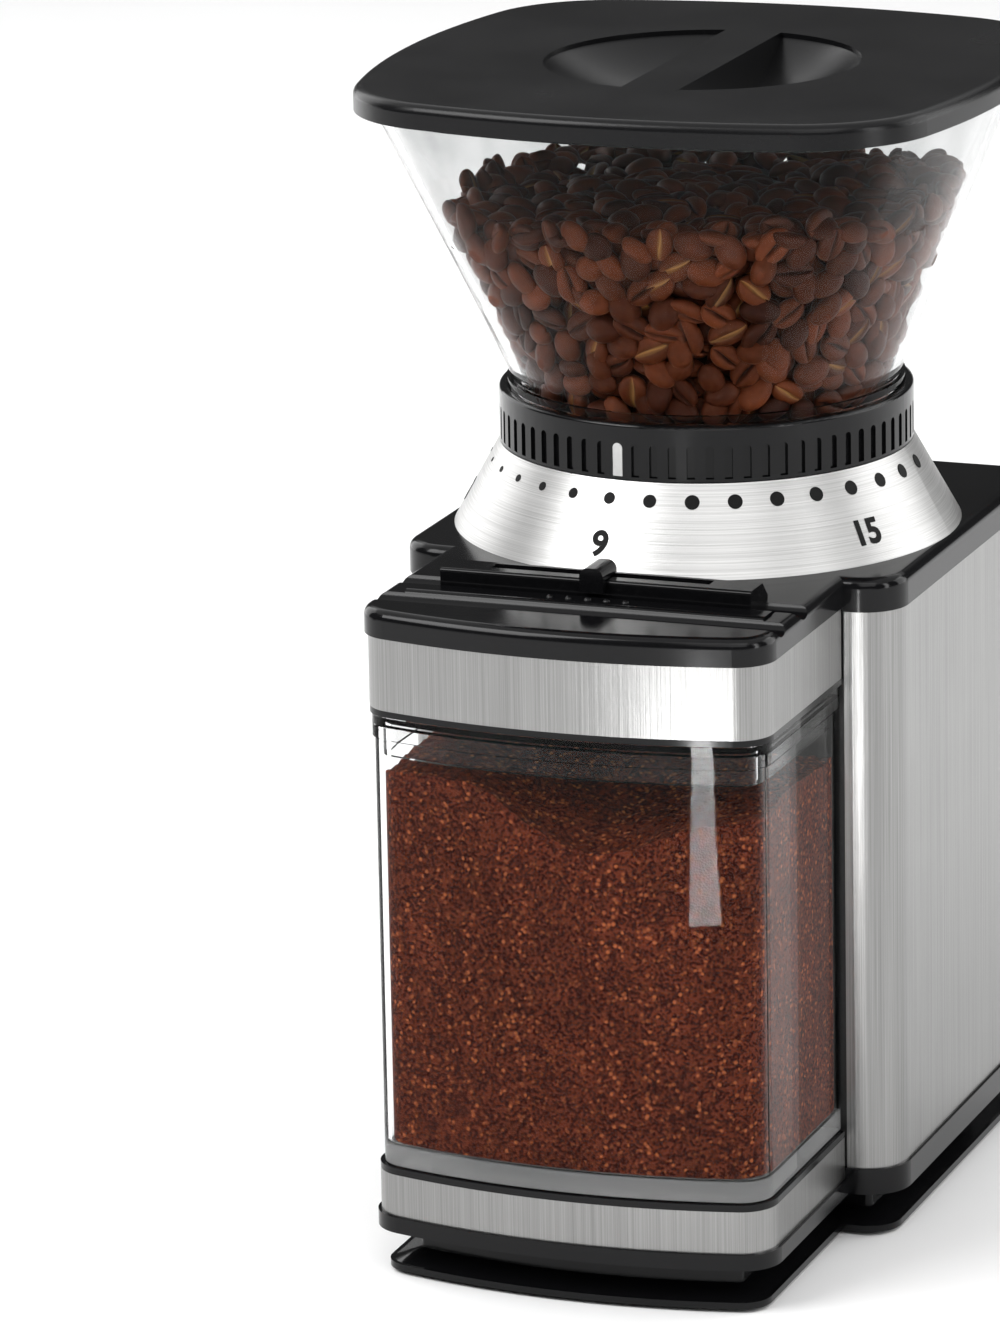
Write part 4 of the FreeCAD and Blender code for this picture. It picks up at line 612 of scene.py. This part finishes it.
def heap_core():
    """A closed heap just behind the outer beans."""
    turns, levels = HEAP_TURNS, HEAP_LEVELS
    inset = BEAN_LAYERS[1] + HEAP_INSET
    foot, head = WALL_FOOT_Z - HEAP_FOOT_DROP, BEAN_LEVEL - HEAP_HEAD_DROP
    verts, faces = [], []
    for level in range(levels + 1):
        z = foot + (head - foot) * level / levels
        for i in range(turns):
            angle = 2 * math.pi * i / turns
            radius = hopper_radius(angle, z) - inset
            verts.append((radius * math.cos(angle), AXIS_Y + radius * math.sin(angle), z))
    for level in range(levels):
        for i in range(turns):
            k = (i + 1) % turns
            a, b = level * turns, (level + 1) * turns
            faces.append((a + i, a + k, b + k, b + i))
    faces.append(tuple(reversed(range(turns))))
    faces.append(tuple(range(levels * turns, (levels + 1) * turns)))
    return verts, faces


# Ground coffee

def chamber_front(x):
    """The chamber's inner front line at a place across it."""
    inner = FRONT_ARC_R - GROUNDS_INSET
    mid_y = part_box("upper_band")[0][1] + GROUNDS_INSET
    return mid_y + inner - math.sqrt(inner ** 2 - x ** 2)


def grounds_level(x, y):
    """The height of the ground coffee's uneven top."""
    inward = y - CHAMBER_LOW[1]
    heap = GROUNDS_HEAP * math.exp(-((x - GROUNDS_HEAP_X) / GROUNDS_HEAP_SPREAD) ** 2)
    wide, deep = GROUNDS_DIP_SPREAD
    from_dip = ((x - GROUNDS_DIP_X) / wide) ** 2
    dip = GROUNDS_DIP * math.exp(-from_dip - ((inward - GROUNDS_DIP_INWARD) / deep) ** 2)
    broad = GROUNDS_WAVES * noise.noise(Vector((x * 60, y * 60, 0.3)))
    fine = GROUNDS_CRUMBS * noise.noise(Vector((x * 420, y * 420, 5.1)))
    return GROUNDS_LEVEL + heap - dip + broad + fine


def grounds_corner(x, half):
    """How far the round front corner sets the front line back at a place across."""
    over = abs(x) - (half - GROUNDS_CORNER_R)
    if over <= 0:
        return 0.0
    return GROUNDS_CORNER_R - math.sqrt(max(0.0, GROUNDS_CORNER_R ** 2 - over ** 2))


def fill_chamber():
    """The ground coffee: a heap that follows the chamber's walls."""
    half = (CHAMBER_HIGH[0] - CHAMBER_LOW[0]) / 2 - GROUNDS_INSET + GROUNDS_SLACK
    back = CHAMBER_HIGH[1] - GROUNDS_INSET + GROUNDS_SLACK
    bottom = CHAMBER_LOW[2] + GROUNDS_FLOOR
    across, deep = GROUNDS_ACROSS, GROUNDS_DEEP
    verts, faces = [], []
    for layer in range(2):
        for i in range(across + 1):
            x = -half + 2 * half * i / across
            front = chamber_front(x) + grounds_corner(x, half)
            for j in range(deep + 1):
                y = front + (back - front) * j / deep
                verts.append((x, y, grounds_level(x, y) if layer else bottom))
    row, sheet = deep + 1, (across + 1) * (deep + 1)
    for i in range(across):
        for j in range(deep):
            a, b = i * row + j, (i + 1) * row + j
            faces.append((a, a + 1, b + 1, b))
            faces.append((sheet + a, sheet + b, sheet + b + 1, sheet + a + 1))
    rim = [i * row for i in range(across + 1)]
    rim += [across * row + j for j in range(1, row)]
    rim += [i * row + deep for i in range(across - 1, -1, -1)]
    rim += [j for j in range(deep - 1, 0, -1)]
    for a, b in zip(rim, rim[1:] + rim[:1]):
        faces.append((a, b, sheet + b, sheet + a))
    mesh_object("ground_coffee", verts, faces, ground_coffee(), "chamber", smooth=False)


# Studio

def area_light(name, place, aim, size, power):
    """A soft rectangular lamp."""
    lamp = bpy.data.lights.new(name, "AREA")
    lamp.shape = "RECTANGLE"
    lamp.size, lamp.size_y = size
    lamp.energy = power
    holder = bpy.data.objects.new(name, lamp)
    holder.location = place
    holder.rotation_euler = (Vector(aim) - Vector(place)).to_track_quat("-Z", "Y").to_euler()
    bpy.context.scene.collection.objects.link(holder)
    return holder


def studio():
    """Pale floor, soft lights and the camera."""
    material, shader = new_material("pale_floor")
    shade = stretched_noise(material, (3, 3, 3), 2.0)
    pale = tint(material, shade, (0.93, 0.93, 0.93), (0.96, 0.96, 0.96))
    link(material, pale, shader.inputs["Base Color"])
    shader.inputs["Roughness"].default_value = 0.8
    mesh = bpy.data.meshes.new("floor")
    reach = FLOOR_REACH
    corners = [(-reach, -reach, 0), (reach, -reach, 0), (reach, reach, 0), (-reach, reach, 0)]
    mesh.from_pydata(corners, [], [(0, 1, 2, 3)])
    mesh.materials.append(material)
    floor = bpy.data.objects.new("floor", mesh)
    bpy.context.scene.collection.objects.link(floor)

    middle = (0, AXIS_Y, 0.14)
    area_light("overhead", (0, 1.2, 3.0), (0, 1.2, 0), (7.0, 7.0), 135)
    area_light("key_left", (-1.1, -1.2, 1.6), middle, (1.2, 1.2), 34)
    area_light("key_front", (0.7, -1.4, 1.5), middle, (1.5, 1.5), 12)
    area_light("side_left", (-1.3, 0.6, 0.6), middle, (1.0, 1.2), 9)
    area_light("side_right", (1.2, 0.9, 0.6), middle, (1.0, 1.2), 10)
    area_light("backdrop", (-0.5, 2.2, 1.4), (-0.5, 2.2, 0), (3.0, 1.2), 5)
    area_light("strip_right", (1.3, -0.35, 0.5), middle, (0.25, 1.0), 5)
    strip = area_light("strip_low", (0.06, -0.48, 0.001), (0.06, -0.48, 1), (0.032, 0.2), 1.1)
    strip.rotation_euler = (math.pi, 0, math.radians(3.6))
    strip.visible_camera = False

    world = bpy.data.worlds.new("studio")
    world.use_nodes = True
    world.node_tree.nodes["Background"].inputs["Color"].default_value = (1, 1, 1, 1)
    world.node_tree.nodes["Background"].inputs["Strength"].default_value = WORLD_STRENGTH
    bpy.context.scene.world = world
    bpy.context.scene.view_settings.view_transform = "Standard"

    lens = bpy.data.cameras.new("camera")
    lens.lens = CAMERA_LENS
    lens.sensor_width = 36
    lens.clip_end = 50
    camera = bpy.data.objects.new("camera", lens)
    look = (CAMERA_AIM - CAMERA_PLACE).to_track_quat("-Z", "Y").to_matrix().to_4x4()
    roll = Matrix.Rotation(math.radians(CAMERA_ROLL_DEG), 4, "Z")
    camera.matrix_world = Matrix.Translation(CAMERA_PLACE) @ look @ roll
    bpy.context.scene.collection.objects.link(camera)
    bpy.context.scene.camera = camera


place_marks()
fill_hopper()
fill_chamber()
studio()

bpy.context.view_layer.update()
